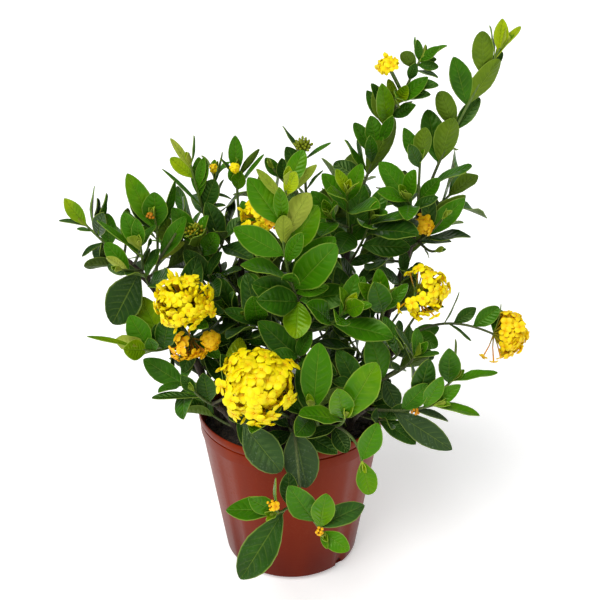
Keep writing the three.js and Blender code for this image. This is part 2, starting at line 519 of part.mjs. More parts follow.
function woodLimb(limb, extra, order = 0) {
  const radius = LIMB.radius - LIMB.thinner * order + extra;
  return barAlong(limb, radius, LIMB.sides, stepsFor(limb, LIMB.tolerance), extra);
}

for (const [first, ...others] of Object.values(WOOD)) {
  for (const limb of others) limb[0] = curvePoint(first, limb[0]).toArray();
}

function woodSolid(name, extra = 0) {
  return fuse(WOOD[name].map((limb, order) => woodLimb(limb, extra, order)));
}

// ---------------------------------------------------------------- leaves

// The half width of a blade at a share t of its length, for a blade one unit wide.
function halfOutline(t) {
  return 0.5 * Math.sin(Math.PI * Math.min(1, t) ** 1.15) ** 0.7;
}

// Where the rings of a blade stand, as shares of its length. The first is the root, just
// behind the stem's axis, and the second is the leaf stalk.
const LEAF_STATIONS = [0, 0, 0.36, 0.76, 1];

// A leaf in its own frame: the foot at the origin, the blade along +X, its upper face
// towards +Z. It is a three-sided sphere drawn out flat: left edge, right edge and keel.
function leafSolid(leaf, margin = 0) {
  const rings = LEAF_STATIONS.length - 1;
  const geometry = new THREE.SphereGeometry(1, 3, rings);
  const positions = geometry.attributes.position;
  const droop = radians(leaf.droop);
  for (let i = 0; i < positions.count; i++) {
    const ring = Math.round((Math.acos(positions.getY(i)) / Math.PI) * rings);
    const isKeel = positions.getZ(i) < -1e-3;
    const isRight = positions.getZ(i) > 1e-3;
    const isEnd = ring === 0 || ring === rings;
    const isStalk = ring === 1;
    let t = LEAF_STATIONS[ring];
    if (ring === 0) t = (margin ? LEAF.stalk : -LEAF.root) / leaf.length;
    if (isStalk) t = (LEAF.stalk + margin) / leaf.length;
    if (ring === rings) t += margin / leaf.length;
    const half = (isStalk ? LEAF.stalkRadius : leaf.width * halfOutline(t)) + margin;
    const keel = isStalk ? LEAF.stalkRadius : LEAF.keel;
    const bend = droop * t;
    const over = isKeel ? -keel - margin : margin;
    const across = isKeel || isEnd ? 0 : isRight ? half : -half;
    positions.setXYZ(
      i,
      (leaf.length * Math.sin(bend)) / droop + Math.sin(bend) * over,
      across,
      (-leaf.length * (1 - Math.cos(bend))) / droop + Math.cos(bend) * over,
    );
  }
  return solidOf(geometry.applyMatrix4(leaf.frame));
}

// A leaf's frame from its foot, the way it points and the way its upper face looks.
function leafFrame(foot, along, face) {
  const x = along.clone().normalize();
  const z = face.clone().addScaledVector(x, -face.dot(x)).normalize();
  const y = z.clone().cross(x);
  return new THREE.Matrix4().makeBasis(x, y, z).setPosition(foot);
}

// The two directions across a stem that its leaf pairs are counted from.
function pairAxes(tangent) {
  const first = PAIR_REFERENCE.clone()
    .addScaledVector(tangent, -PAIR_REFERENCE.dot(tangent))
    .normalize();
  return [first, tangent.clone().cross(first)];
}

// Every leaf that a shoot bears, before any is bent clear of its neighbours.
function leavesOf(shoot, index) {
  const draw = drawer(index + 1);
  const length = curveLength(shoot.curve);
  const leaves = [];
  const tipRoom = shoot.blooms ? 5 : 1.5;
  const downTo = (pairsBelow) => LEAF.internode * (0.45 + 0.1 * pairsBelow) * pairsBelow;
  const room = length - LEAF.bareFoot - tipRoom;
  const crowding = Math.min(1, room / Math.max(1, downTo(shoot.pairs - 1)));
  for (let pair = 0; pair < shoot.pairs; pair++) {
    const fromTip = shoot.pairs - 1 - pair;
    const t = 1 - (tipRoom + crowding * downTo(fromTip)) / length;
    for (const side of [0, 180]) {
      leaves.push({
        t,
        turn: shoot.roll + 90 * pair + side + 24 * (draw() - 0.5),
        lean: Math.min(56, 24 + 8 * fromTip) + shoot.open + 12 * (draw() - 0.5),
        length: LEAF.size * shoot.leaf * Math.min(1, 0.55 + 0.26 * fromTip) * (0.9 + 0.2 * draw()),
        droop: LEAF.droop * (0.4 + 1.2 * draw()),
        light: 0.35 + 0.4 * draw(),
      });
    }
  }
  return leaves;
}

// How a leaf is bent when its first place is taken: turn, lean, size.
const BENDS = [
  [0, 0, 1], [14, 0, 1], [-14, 0, 1], [0, 14, 1], [0, -14, 1], [26, 8, 0.95], [-26, 8, 0.95],
  [26, -12, 0.95], [-26, -12, 0.95], [0, 26, 0.9], [0, -24, 0.9], [40, 0, 0.85], [-40, 0, 0.85],
  [0, 0, 0.75], [20, 16, 0.75], [-20, 16, 0.75], [20, -16, 0.7], [-20, -16, 0.7],
  [0, 0, 0.55], [30, 0, 0.55], [-30, 0, 0.55], [0, 30, 0.5], [0, -20, 0.5],
];

function bentLeaf(shoot, leaf, [turn, lean, size]) {
  const foot = curvePoint(shoot.curve, leaf.t);
  const tangent = curveTangent(shoot.curve, leaf.t);
  const [first, second] = pairAxes(tangent);
  const angle = radians(leaf.turn + turn);
  const outward = first.multiplyScalar(Math.cos(angle)).addScaledVector(second, Math.sin(angle));
  const opening = radians(Math.max(12, leaf.lean + lean));
  const along = tangent
    .clone()
    .multiplyScalar(Math.cos(opening))
    .addScaledVector(outward, Math.sin(opening));
  const face = tangent
    .addScaledVector(outward, -0.2)
    .addScaledVector(UP, leaf.light)
    .addScaledVector(shoot.lit, 0.45);
  return {
    length: leaf.length * size,
    width: LEAF.widthShare * leaf.length * size,
    droop: leaf.droop,
    frame: leafFrame(foot, along, face),
  };
}

// A placed leaf: its blade is bent evenly on both sides of the straight line from foot to tip.
function reachingLeaf(shoot, leaf, [turn, lean, size]) {
  const foot = curvePoint(shoot.curve, leaf.t);
  const reach = leaf.tip.clone().sub(foot);
  const aim = reach.clone().normalize();
  const side = aim.clone().cross(UP).normalize();
  aim.applyAxisAngle(UP, radians(turn)).applyAxisAngle(side, radians(lean));
  const face = leaf.face.clone().addScaledVector(aim, -leaf.face.dot(aim)).normalize();
  const half = radians(leaf.droop) / 2;
  const along = aim.multiplyScalar(Math.cos(half)).addScaledVector(face, Math.sin(half));
  const length = (size * reach.length() * half) / Math.sin(half);
  return {
    length,
    width: LEAF.widthShare * leaf.wide * length,
    droop: leaf.droop,
    frame: leafFrame(foot, along, face),
  };
}

const grownLeaf = (shoot, leaf, bend) => (leaf.tip ? reachingLeaf : bentLeaf)(shoot, leaf, bend);

// ---------------------------------------------------------------- florets

// A floret's face: a shallow dish whose edge is drawn out into four lobes.
function dishGeometry(radius) {
  const profile = [
    new THREE.Vector2(0, -FLORET.depth),
    new THREE.Vector2(radius, 0),
    new THREE.Vector2(0, -FLORET.dish),
  ];
  const quarter = Math.PI / 2;
  const dish = new THREE.LatheGeometry(profile, FLORET.corners, Math.PI / FLORET.corners);
  const positions = dish.rotateX(quarter).attributes.position;
  for (let i = 0; i < positions.count; i++) {
    const reach = Math.hypot(positions.getX(i), positions.getY(i));
    if (reach < radius / 2) continue;
    const angle = Math.atan2(positions.getY(i), positions.getX(i));
    const lobe = Math.round(angle / quarter) * quarter;
    const inNotch = Math.abs(angle - lobe) > FLORET.lobeHalfAngle;
    const edge = inNotch ? radius * FLORET.notch : radius;
    const spread = inNotch ? angle : lobe + FLORET.lobe * (angle - lobe);
    const rise = inNotch ? -FLORET.notchDrop : FLORET.lobeRise;
    positions.setXYZ(i, edge * Math.cos(spread), edge * Math.sin(spread), rise);
  }
  return dish;
}

// A floret is a dish on a three-sided tube that runs to the head's core.
function floretSolid(top, facing, radius, spin, core) {
  const frame = new THREE.Matrix4().compose(
    top,
    new THREE.Quaternion().setFromUnitVectors(UP, facing),
    new THREE.Vector3(1, 1, 1),
  );
  const dish = dishGeometry(radius).rotateZ(spin).applyMatrix4(frame);
  const end = new THREE.Vector3(FLORET.offCentre, 0, FLORET.tubeTop)
    .applyAxisAngle(UP, spin)
    .applyMatrix4(frame);
  const length = end.distanceTo(core);
  const { tubeRadius, tubeSides } = FLORET;
  const tube = new THREE.CylinderGeometry(tubeRadius, tubeRadius, length, tubeSides)
    .rotateX(Math.PI / 2)
    .translate(0, 0, length / 2);
  const towards = end.clone().sub(core).normalize();
  tube.applyMatrix4(
    new THREE.Matrix4().compose(
      core,
      new THREE.Quaternion().setFromUnitVectors(UP, towards),
      new THREE.Vector3(1, 1, 1),
    ),
  );
  return fuse([solidOf(dish), solidOf(tube)]);
}

// The places of a head's florets: an even spiral over a dome, a little uneven in height.
function floretPlaces(bloom, seed) {
  const draw = drawer(seed);
  const golden = Math.PI * (3 - Math.sqrt(5));
  const lowest = Math.cos(radians(bloom.spread));
  const turnUp = new THREE.Quaternion().setFromUnitVectors(UP, bloom.facing);
  const places = [];
  for (let i = 0; i < bloom.florets; i++) {
    const height = 1 - ((i + 0.5) / bloom.florets) * (1 - lowest);
    const across = Math.sqrt(1 - height * height);
    const facing = new THREE.Vector3(
      across * Math.cos(golden * i),
      across * Math.sin(golden * i),
      height,
    ).applyQuaternion(turnUp);
    const uneven = FLORET.unevenness * (draw() - 0.5);
    const reach = bloom.radius + FLORET.step * ((i % 3) - 1) + uneven;
    places.push({
      facing,
      top: bloom.middle.clone().addScaledVector(facing, reach),
      spin: draw() * Math.PI,
    });
  }
  return places;
}

function bloomSolid(bloom, seed, seat) {
  const stalk = barAlong(bloom.stalk, HEAD.stalkRadius, HEAD.stalkSides, HEAD.stalkSteps);
  const core = new THREE.OctahedronGeometry(bloom.radius * HEAD.core, 0).translate(
    ...bloom.middle.toArray(),
  );
  const florets = floretPlaces(bloom, seed).map(({ facing, top, spin }) =>
    floretSolid(top, facing, bloom.floret, spin, bloom.middle),
  );
  return fuse([stalk, solidOf(core), ...florets]).subtract(seat);
}

// ---------------------------------------------------------------- growing the bush

// What stands so far, each with its box, for the test that a leaf is clear of it.
const standing = [];

function stand(solid, owner) {
  standing.push({ solid, owner, box: solid.boundingBox() });
}

function boxesMeet(a, b) {
  return [0, 1, 2].every((i) => a.min[i] <= b.max[i] && b.min[i] <= a.max[i]);
}

function isClear(solid, owner) {
  const box = solid.boundingBox();
  return !standing.some(
    (other) =>
      other.owner !== owner && boxesMeet(box, other.box) && !solid.intersect(other.solid).isEmpty(),
  );
}

const shoots = SHOOTS.map(
  ([name, parent, limb, place, bend, tip, roll, pairs, leaf, youth, open = 0]) => ({
    name, parent, limb, place, bend, tip, roll, pairs, leaf, youth, open,
  }),
);
const byName = new Map(shoots.map((shoot) => [shoot.name, shoot]));

for (const shoot of shoots) {
  const parentCurve = byName.has(shoot.parent)
    ? byName.get(shoot.parent).curve
    : WOOD[shoot.parent][shoot.limb];
  shoot.blooms = BLOOMS.some(([, stem, place]) => stem === shoot.name && place === 1);
  shoot.curve = [curvePoint(parentCurve, shoot.place).toArray(), shoot.bend, shoot.tip];
  if (!shoot.blooms) {
    // The young leaves at the tip reach on past the stem.
    const above = Math.min(0.35 * shoot.leaf, 0.35 * curveLength(shoot.curve));
    const end = vector(shoot.tip).addScaledVector(curveTangent(shoot.curve, 1), -above);
    shoot.curve[2] = end.toArray();
  }
  shoot.piece = byName.has(shoot.parent) ? byName.get(shoot.parent).piece : shoot.name;
  shoot.wood = byName.has(shoot.parent) ? byName.get(shoot.parent).wood : shoot.parent;
  shoot.lit = vector(shoot.tip).sub(SHADE_AXIS).setZ(0).normalize();
}

const blooms = BLOOMS.map(
  ([name, parent, place, middle, facing, radius, spread, florets, floret]) => ({
    name, parent, place, radius, spread, florets, floret,
    middle: vector(middle),
    facing: vector(facing).normalize(),
  }),
);

const pieces = new Map();
const pot = potSolid();
const soil = fuse(Object.keys(WOOD).map((name) => woodLimb(WOOD[name][0], RUNNING_GAP)));
pieces.set("pot", pot);
pieces.set("soil", soilSolid().subtract(soil));
stand(pot, "pot");
stand(pieces.get("soil"), "soil");

const seats = {};
for (const name of Object.keys(WOOD)) {
  const wood = woodSolid(name);
  pieces.set(name, wood);
  seats[name] = woodSolid(name, RUNNING_GAP);
  stand(wood, name);
}

function twigOf(shoot, extra = 0) {
  const [first, second] = pairAxes(curveTangent(shoot.curve, 0.7));
  const roll = radians(shoot.roll);
  const side = first.multiplyScalar(Math.cos(roll)).addScaledVector(second, Math.sin(roll));
  const steps = stepsFor(shoot.curve, TWIG.tolerance);
  return barAlong(shoot.curve, TWIG.radius + extra, TWIG.sides, steps, extra, side);
}
const grown = new Map(shoots.map((shoot) => [shoot.name, [twigOf(shoot)]]));
for (const shoot of shoots) stand(grown.get(shoot.name)[0], "twig " + shoot.name);

blooms.forEach((bloom, index) => {
  const parent = byName.get(bloom.parent);
  const start = curvePoint(parent.curve, bloom.place);
  const back = bloom.middle.clone().addScaledVector(bloom.facing, -bloom.radius * HEAD.core);
  bloom.stalk = [start.toArray(), back.toArray(), bloom.middle.toArray()];
  const solid = bloomSolid(bloom, 500 + index, twigOf(parent, RUNNING_GAP));
  pieces.set(bloom.name, solid);
  stand(solid, bloom.name);
});

shoots.forEach((shoot, index) => {
  const own = "twig " + shoot.name;
  const placed = PLACED_LEAVES.filter(([name]) => name === shoot.name).map(
    ([, t, tip, look, wide]) => ({
      t, wide, droop: LEAF.placedDroop, tip: vector(tip), face: vector(FACES[look]),
    }),
  );
  for (const leaf of [...placed, ...leavesOf(shoot, index)]) {
    const place = BENDS.find((bend) => isClear(leafSolid(grownLeaf(shoot, leaf, bend), LEAF.clearance), own));
    if (!place) continue; // there is no room for it
    const solid = leafSolid(grownLeaf(shoot, leaf, place));
    grown.get(shoot.name).push(solid);
    stand(solid, "leaf");
  }
});

for (const shoot of shoots.filter(({ piece, name }) => piece === name)) {
  const family = shoots.filter(({ piece }) => piece === shoot.name);
  const solids = family.flatMap(({ name }) => grown.get(name));
  pieces.set("shoot_" + shoot.name, fuse(solids).subtract(seats[shoot.wood]));
}

// ---------------------------------------------------------------- materials and meshes

const FINISHES = {
  pot: { color: 0x8f3f28, roughness: 0.45 },
  soil: { color: 0x2a1d14, roughness: 0.95 },
  wood: { color: 0x5a4634, roughness: 0.85 },
  bloom: { color: 0xffd21a, roughness: 0.6 },
  shoot: { color: 0x2f5a1a, roughness: 0.4 },
};
const YOUNG_LEAF = new THREE.Color(0x93b414);

// A shoot is the more yellow-green, the younger its leaves are.
function youthOf(piece) {
  const placed = PLACED_LEAVES.filter(([name]) => byName.get(name).piece === piece);
  const family = shoots.filter((shoot) => shoot.piece === piece);
  const ages = [...placed.map(([, , , , , youth]) => youth), ...family.map(({ youth }) => youth)];
  return ages.reduce((sum, age) => sum + age, 0) / ages.length;
}

const plant = new THREE.Group();
for (const [name, solid] of pieces) {
  const [kind] = name.split("_");
  const finish = { ...FINISHES[kind], metalness: 0, flatShading: true };
  const material = new THREE.MeshStandardMaterial(finish);
  if (kind === "shoot") material.color.lerp(YOUNG_LEAF, youthOf(name.slice("shoot_".length)));
  const mesh = new THREE.Mesh(geometryOf(solid), material);
  mesh.name = name;
  plant.add(mesh);
}

export default plant;
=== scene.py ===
# %% [markdown]
# # A yellow ixora in a nursery pot
# The real plant is a small woody bush. It has brown stems, leafy shoots whose leaves stand
# in pairs, and flower heads made of many small four-lobed florets. The CAD model already
# holds every stem, leaf and head as a plain solid. This lesson loads it as a fixed frame
# and grows a finer piece in the place of each solid, by the same growing rule.

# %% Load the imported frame
import json
import math

import bmesh
import bpy
from mathutils import Matrix, Quaternion, Vector, noise
from mathutils.bvhtree import BVHTree
from mathutils.kdtree import KDTree

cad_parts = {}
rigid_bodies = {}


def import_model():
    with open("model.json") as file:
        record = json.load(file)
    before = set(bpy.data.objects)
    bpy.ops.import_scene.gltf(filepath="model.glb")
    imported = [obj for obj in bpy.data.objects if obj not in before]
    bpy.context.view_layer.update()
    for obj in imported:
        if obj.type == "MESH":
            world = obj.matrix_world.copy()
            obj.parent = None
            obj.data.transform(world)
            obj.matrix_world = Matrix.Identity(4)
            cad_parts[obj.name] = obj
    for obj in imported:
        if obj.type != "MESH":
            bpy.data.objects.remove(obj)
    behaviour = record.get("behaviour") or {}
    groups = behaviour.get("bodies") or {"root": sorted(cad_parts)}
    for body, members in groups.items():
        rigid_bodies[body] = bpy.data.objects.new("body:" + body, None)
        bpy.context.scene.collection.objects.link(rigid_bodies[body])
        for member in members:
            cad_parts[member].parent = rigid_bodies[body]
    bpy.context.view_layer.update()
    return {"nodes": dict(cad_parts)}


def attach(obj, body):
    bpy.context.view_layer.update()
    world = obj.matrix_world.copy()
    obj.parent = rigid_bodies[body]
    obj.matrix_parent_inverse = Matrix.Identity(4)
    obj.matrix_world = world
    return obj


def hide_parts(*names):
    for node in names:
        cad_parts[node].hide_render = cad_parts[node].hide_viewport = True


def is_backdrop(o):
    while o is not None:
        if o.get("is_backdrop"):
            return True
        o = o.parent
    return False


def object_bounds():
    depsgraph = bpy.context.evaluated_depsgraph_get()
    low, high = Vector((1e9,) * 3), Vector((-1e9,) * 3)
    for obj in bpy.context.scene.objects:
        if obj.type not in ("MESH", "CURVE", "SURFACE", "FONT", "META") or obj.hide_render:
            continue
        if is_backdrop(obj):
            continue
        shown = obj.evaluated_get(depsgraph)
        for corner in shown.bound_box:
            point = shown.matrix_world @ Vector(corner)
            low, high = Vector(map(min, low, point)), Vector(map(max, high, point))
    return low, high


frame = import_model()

MM = 0.001

# %% [markdown]
# ## The plan of the bush
# A plant could be sculpted, but then nothing in it could be grown again a little
# differently. Here it is a plan: where each woody stem stands, where each shoot starts,
# bends and ends, and where the heads sit. These are the numbers that the CAD solids were
# grown from, in millimetres, so the fine pieces land where the solids are.

# %% Woody stems
# Each stem is a list of limbs: start, bend, end. Later limbs start at a share of the first.
STEM_FOOT = 104
WOOD = {
    "wood_left": [[[-58, -16, STEM_FOOT], [-88, -22, 270], [-146, -11, 306]]],
    "wood_front_left": [[[-34, -42, STEM_FOOT], [-44, -50, 168], [-62, -56, 184]]],
    "wood_back_left": [
        [[-38, 16, STEM_FOOT], [-52, 20, 230], [-73, 24, 322]],
        [0.4, [-42, 14, 250], [-44, 22, 318]],
    ],
    "wood_centre": [[[4, -12, STEM_FOOT], [14, -22, 200], [10, -45, 272]]],
    "wood_back": [[[-4, 34, STEM_FOOT], [4, 44, 230], [14, 30, 335]]],
    "wood_tall": [[[22, 16, STEM_FOOT], [42, 24, 240], [55, 12, 335]]],
    "wood_right": [[[46, 8, STEM_FOOT], [88, 20, 225], [112, 8, 343]]],
    "wood_low_right": [
        [[40, -24, STEM_FOOT], [56, -40, 175], [88, -42, 232]],
        [0.38, [58, -54, 176], [64, -66, 188]],
    ],
    "wood_front": [
        [[6, -44, STEM_FOOT], [4, -62, 175], [2, -82, 190]],
        [0.48, [16, -72, 170], [34, -84, 182]],
    ],
}
print("woody stems", len(WOOD))

# %% Leafy shoots
# name, parent, limb, place on it, bend, tip, roll of the lowest pair, pairs, longest leaf,
# youth (0 old to 1 young), and how much wider than usual the pairs open, in degrees.
SHOOTS = [
    ["far_left", "wood_left", 0, 1, [-160, -10, 320], [-179, -10, 342], 80, 0, 40, 0.5],
    ["left_rosette", "wood_left", 0, 0.82, [-121, -30, 302], [-120, -46, 338], 0, 0, 42, 0.6],
    ["left_front", "left_rosette", 0, 0.25, [-130, -42, 303], [-140, -64, 316], 60, 0, 40, 0.5],
    ["left_top", "wood_left", 0, 0.72, [-110, -2, 315], [-114, -16, 354], 90, 0, 46, 0.6],
    ["left_inner", "left_top", 0, 0.3, [-100, -16, 318], [-86, -28, 342], 20, 0, 50, 0.3],
    ["left_low", "wood_left", 0, 0.46, [-112, -44, 226], [-134, -60, 248], 90, 0, 42, 0.6],
    ["bloom_left_stem", "wood_left", 0, 0.58, [-94, -48, 252], [-84, -58, 268], 30, 1, 48, 0.4],
    ["bloom_small_stem", "bloom_left_stem", 0, 0.25, [-80, -40, 238], [-78, -46, 242],
     60, 1, 42, 0.3],
    ["low_left", "wood_front_left", 0, 1, [-74, -64, 194], [-84, -78, 220], 0, 0, 38, 0.4],
    ["back_left_tall", "wood_back_left", 0, 1, [-80, 16, 355], [-85, 10, 392], 45, 0, 44, 0.8],
    ["back_left_side", "back_left_tall", 0, 0.15, [-68, 32, 345], [-64, 42, 372], 20, 1, 42, 0.3],
    ["back_left_inner", "wood_back_left", 1, 1, [-46, 24, 348], [-45, 20, 384], 40, 0, 44, 0.4],
    ["bud_left", "wood_back_left", 0, 0.7, [-78, 0, 300], [-80, -15, 332], 50, 2, 46, 0.4],
    ["bloom_back_stem", "wood_back_left", 1, 0.7, [-36, 0, 310], [-31, -12, 328], 20, 1, 48, 0.2],
    ["centre", "wood_centre", 0, 1, [-12, -62, 326], [2, -86, 406], 0, 0, 56, 0.7],
    ["centre_back", "wood_back", 0, 1, [13, 20, 362], [10, 15, 400], 30, 0, 42, 0.3],
    ["centre_back_left", "centre_back", 0, 0.1, [-6, 26, 356], [-22, 20, 384], 60, 0, 44, 0.3],
    ["young", "wood_tall", 0, 0.85, [48, -14, 334], [45, -36, 378], 45, 3, 40, 0.9],
    ["young_side", "young", 0, 0.4, [38, -22, 336], [27, -34, 356], 10, 2, 42, 0.5],
    ["tall_branch", "wood_tall", 0, 1, [70, 10, 395], [109, -6, 481], 35, 0, 48, 0.5, -12],
    ["tallest_branch", "wood_right", 0, 1, [125, 8, 395], [172, -7, 492], 60, 0, 54, 0.6, -14],
    ["right_upright", "wood_right", 0, 0.94, [106, -4, 358], [105, -15, 402], 80, 0, 48, 0.4],
    ["right_front", "right_upright", 0, 0.2, [100, -18, 348], [88, -36, 372], 30, 2, 50, 0.4],
    ["right_inner", "wood_tall", 0, 0.72, [62, -16, 318], [66, -48, 360], 50, 3, 46, 0.3],
    ["right_side", "wood_right", 0, 0.84, [120, -4, 322], [132, -20, 352], 20, 0, 48, 0.3],
    ["right_low_side", "right_side", 0, 0.2, [116, -14, 308], [130, -26, 318], 70, 0, 46, 0.2],
    ["bloom_right_stem", "wood_low_right", 0, 1, [98, -46, 255], [106, -48, 270], 20, 1, 46, 0.2],
    ["mid_right", "wood_low_right", 0, 0.8, [78, -48, 255], [74, -56, 298], 60, 1, 46, 0.5],
    ["arm_right", "wood_low_right", 0, 0.93, [118, -26, 268], [176, -38, 242], 20, 0, 36, 0.2],
    ["mid_front", "wood_centre", 0, 0.82, [34, -58, 258], [50, -74, 294], 45, 3, 46, 0.7],
    ["low_right_back", "wood_low_right", 0, 0.55, [76, -30, 212], [74, -22, 246], 45, 1, 46, 0.1],
    ["low_right_fore", "wood_low_right", 0, 0.7, [96, -60, 220], [108, -68, 250], 10, 1, 42, 0.1],
    ["arm_low_right", "wood_low_right", 1, 1, [95, -84, 194], [132, -94, 214], 10, 0, 50, 0.3],
    ["arm_low_side", "arm_low_right", 0, 0.5, [120, -76, 204], [144, -72, 232], 60, 0, 46, 0.4],
    ["front_right", "wood_front", 1, 1, [42, -102, 192], [46, -116, 222], 90, 0, 56, 0.7],
    ["front_middle", "wood_front", 1, 0.75, [22, -98, 192], [14, -108, 228], 20, 0, 54, 0.6],
    ["front_edge", "front_right", 0, 0.3, [56, -104, 184], [60, -113, 150], 40, 0, 44, 0.6],
    ["hanging", "wood_front", 0, 0.96, [6, -118, 176], [10, -116, 122], 40, 0, 0, 0.3],
    ["hanging_left", "hanging", 0, 0.84, [0, -122, 126], [-20, -140, 134], 20, 0, 48, 0.5, 26],
    ["hanging_right", "hanging", 0, 0.97, [22, -124, 114], [30, -150, 116], 30, 0, 46, 0.6, 24],
    ["bloom_front_stem", "wood_front", 0, 0.85, [-8, -88, 196], [-15, -92, 206], 30, 2, 54, 0.4],
    ["rim", "bloom_front_stem", 0, 0.3, [-22, -92, 190], [-41, -88, 187], 0, 0, 0, 0.1],
    ["inner_left", "wood_centre", 0, 0.55, [-20, -34, 240], [-38, -40, 268], 30, 2, 54, 0.1],
    ["inner_middle", "wood_centre", 0, 0.7, [-8, -10, 262], [-18, -16, 308], 60, 2, 54, 0.1],
    ["inner_right", "wood_tall", 0, 0.5, [48, -14, 250], [46, -22, 278], 20, 2, 54, 0.1],
    ["inner_low", "low_left", 0, 0.2, [-48, -66, 200], [-48, -70, 226], 45, 2, 50, 0.1],
    ["inner_back", "wood_back_left", 0, 0.5, [-40, -6, 230], [-62, -14, 262], 15, 2, 52, 0.1],
    ["back_far_left", "wood_back_left", 0, 0.55, [-92, 50, 270], [-112, 58, 300], 20, 3, 50, 0.4],
    ["back_left_low", "wood_back_left", 0, 0.3, [-70, 60, 210], [-92, 82, 232], 50, 2, 52, 0.3],
    ["back_left_shade", "back_left_low", 0, 0.35, [-60, 54, 218], [-50, 56, 256], 20, 2, 54, 0.1],
    ["back_middle", "wood_back", 0, 0.75, [0, 70, 310], [-30, 90, 336], 40, 2, 52, 0.5],
    ["back_middle_low", "wood_back", 0, 0.4, [-8, 74, 220], [-36, 106, 240], 10, 2, 52, 0.3],
    ["back_shade", "back_middle_low", 0, 0.35, [-14, 68, 234], [-20, 62, 272], 35, 2, 54, 0.1],
    ["back_mid", "back_middle", 0, 0.25, [-16, 52, 292], [-38, 50, 314], 70, 2, 50, 0.1],
    ["back_right_top", "wood_tall", 0, 0.8, [44, 60, 320], [54, 88, 346], 30, 3, 52, 0.5],
    ["back_right_low", "wood_tall", 0, 0.4, [36, 66, 215], [44, 106, 244], 60, 2, 52, 0.3],
    ["back_far_right", "wood_right", 0, 0.7, [112, 46, 290], [126, 64, 316], 40, 3, 50, 0.5],
    ["back_right_side", "wood_right", 0, 0.45, [98, 50, 215], [116, 72, 236], 20, 2, 52, 0.3],
]
print("shoots", len(SHOOTS))

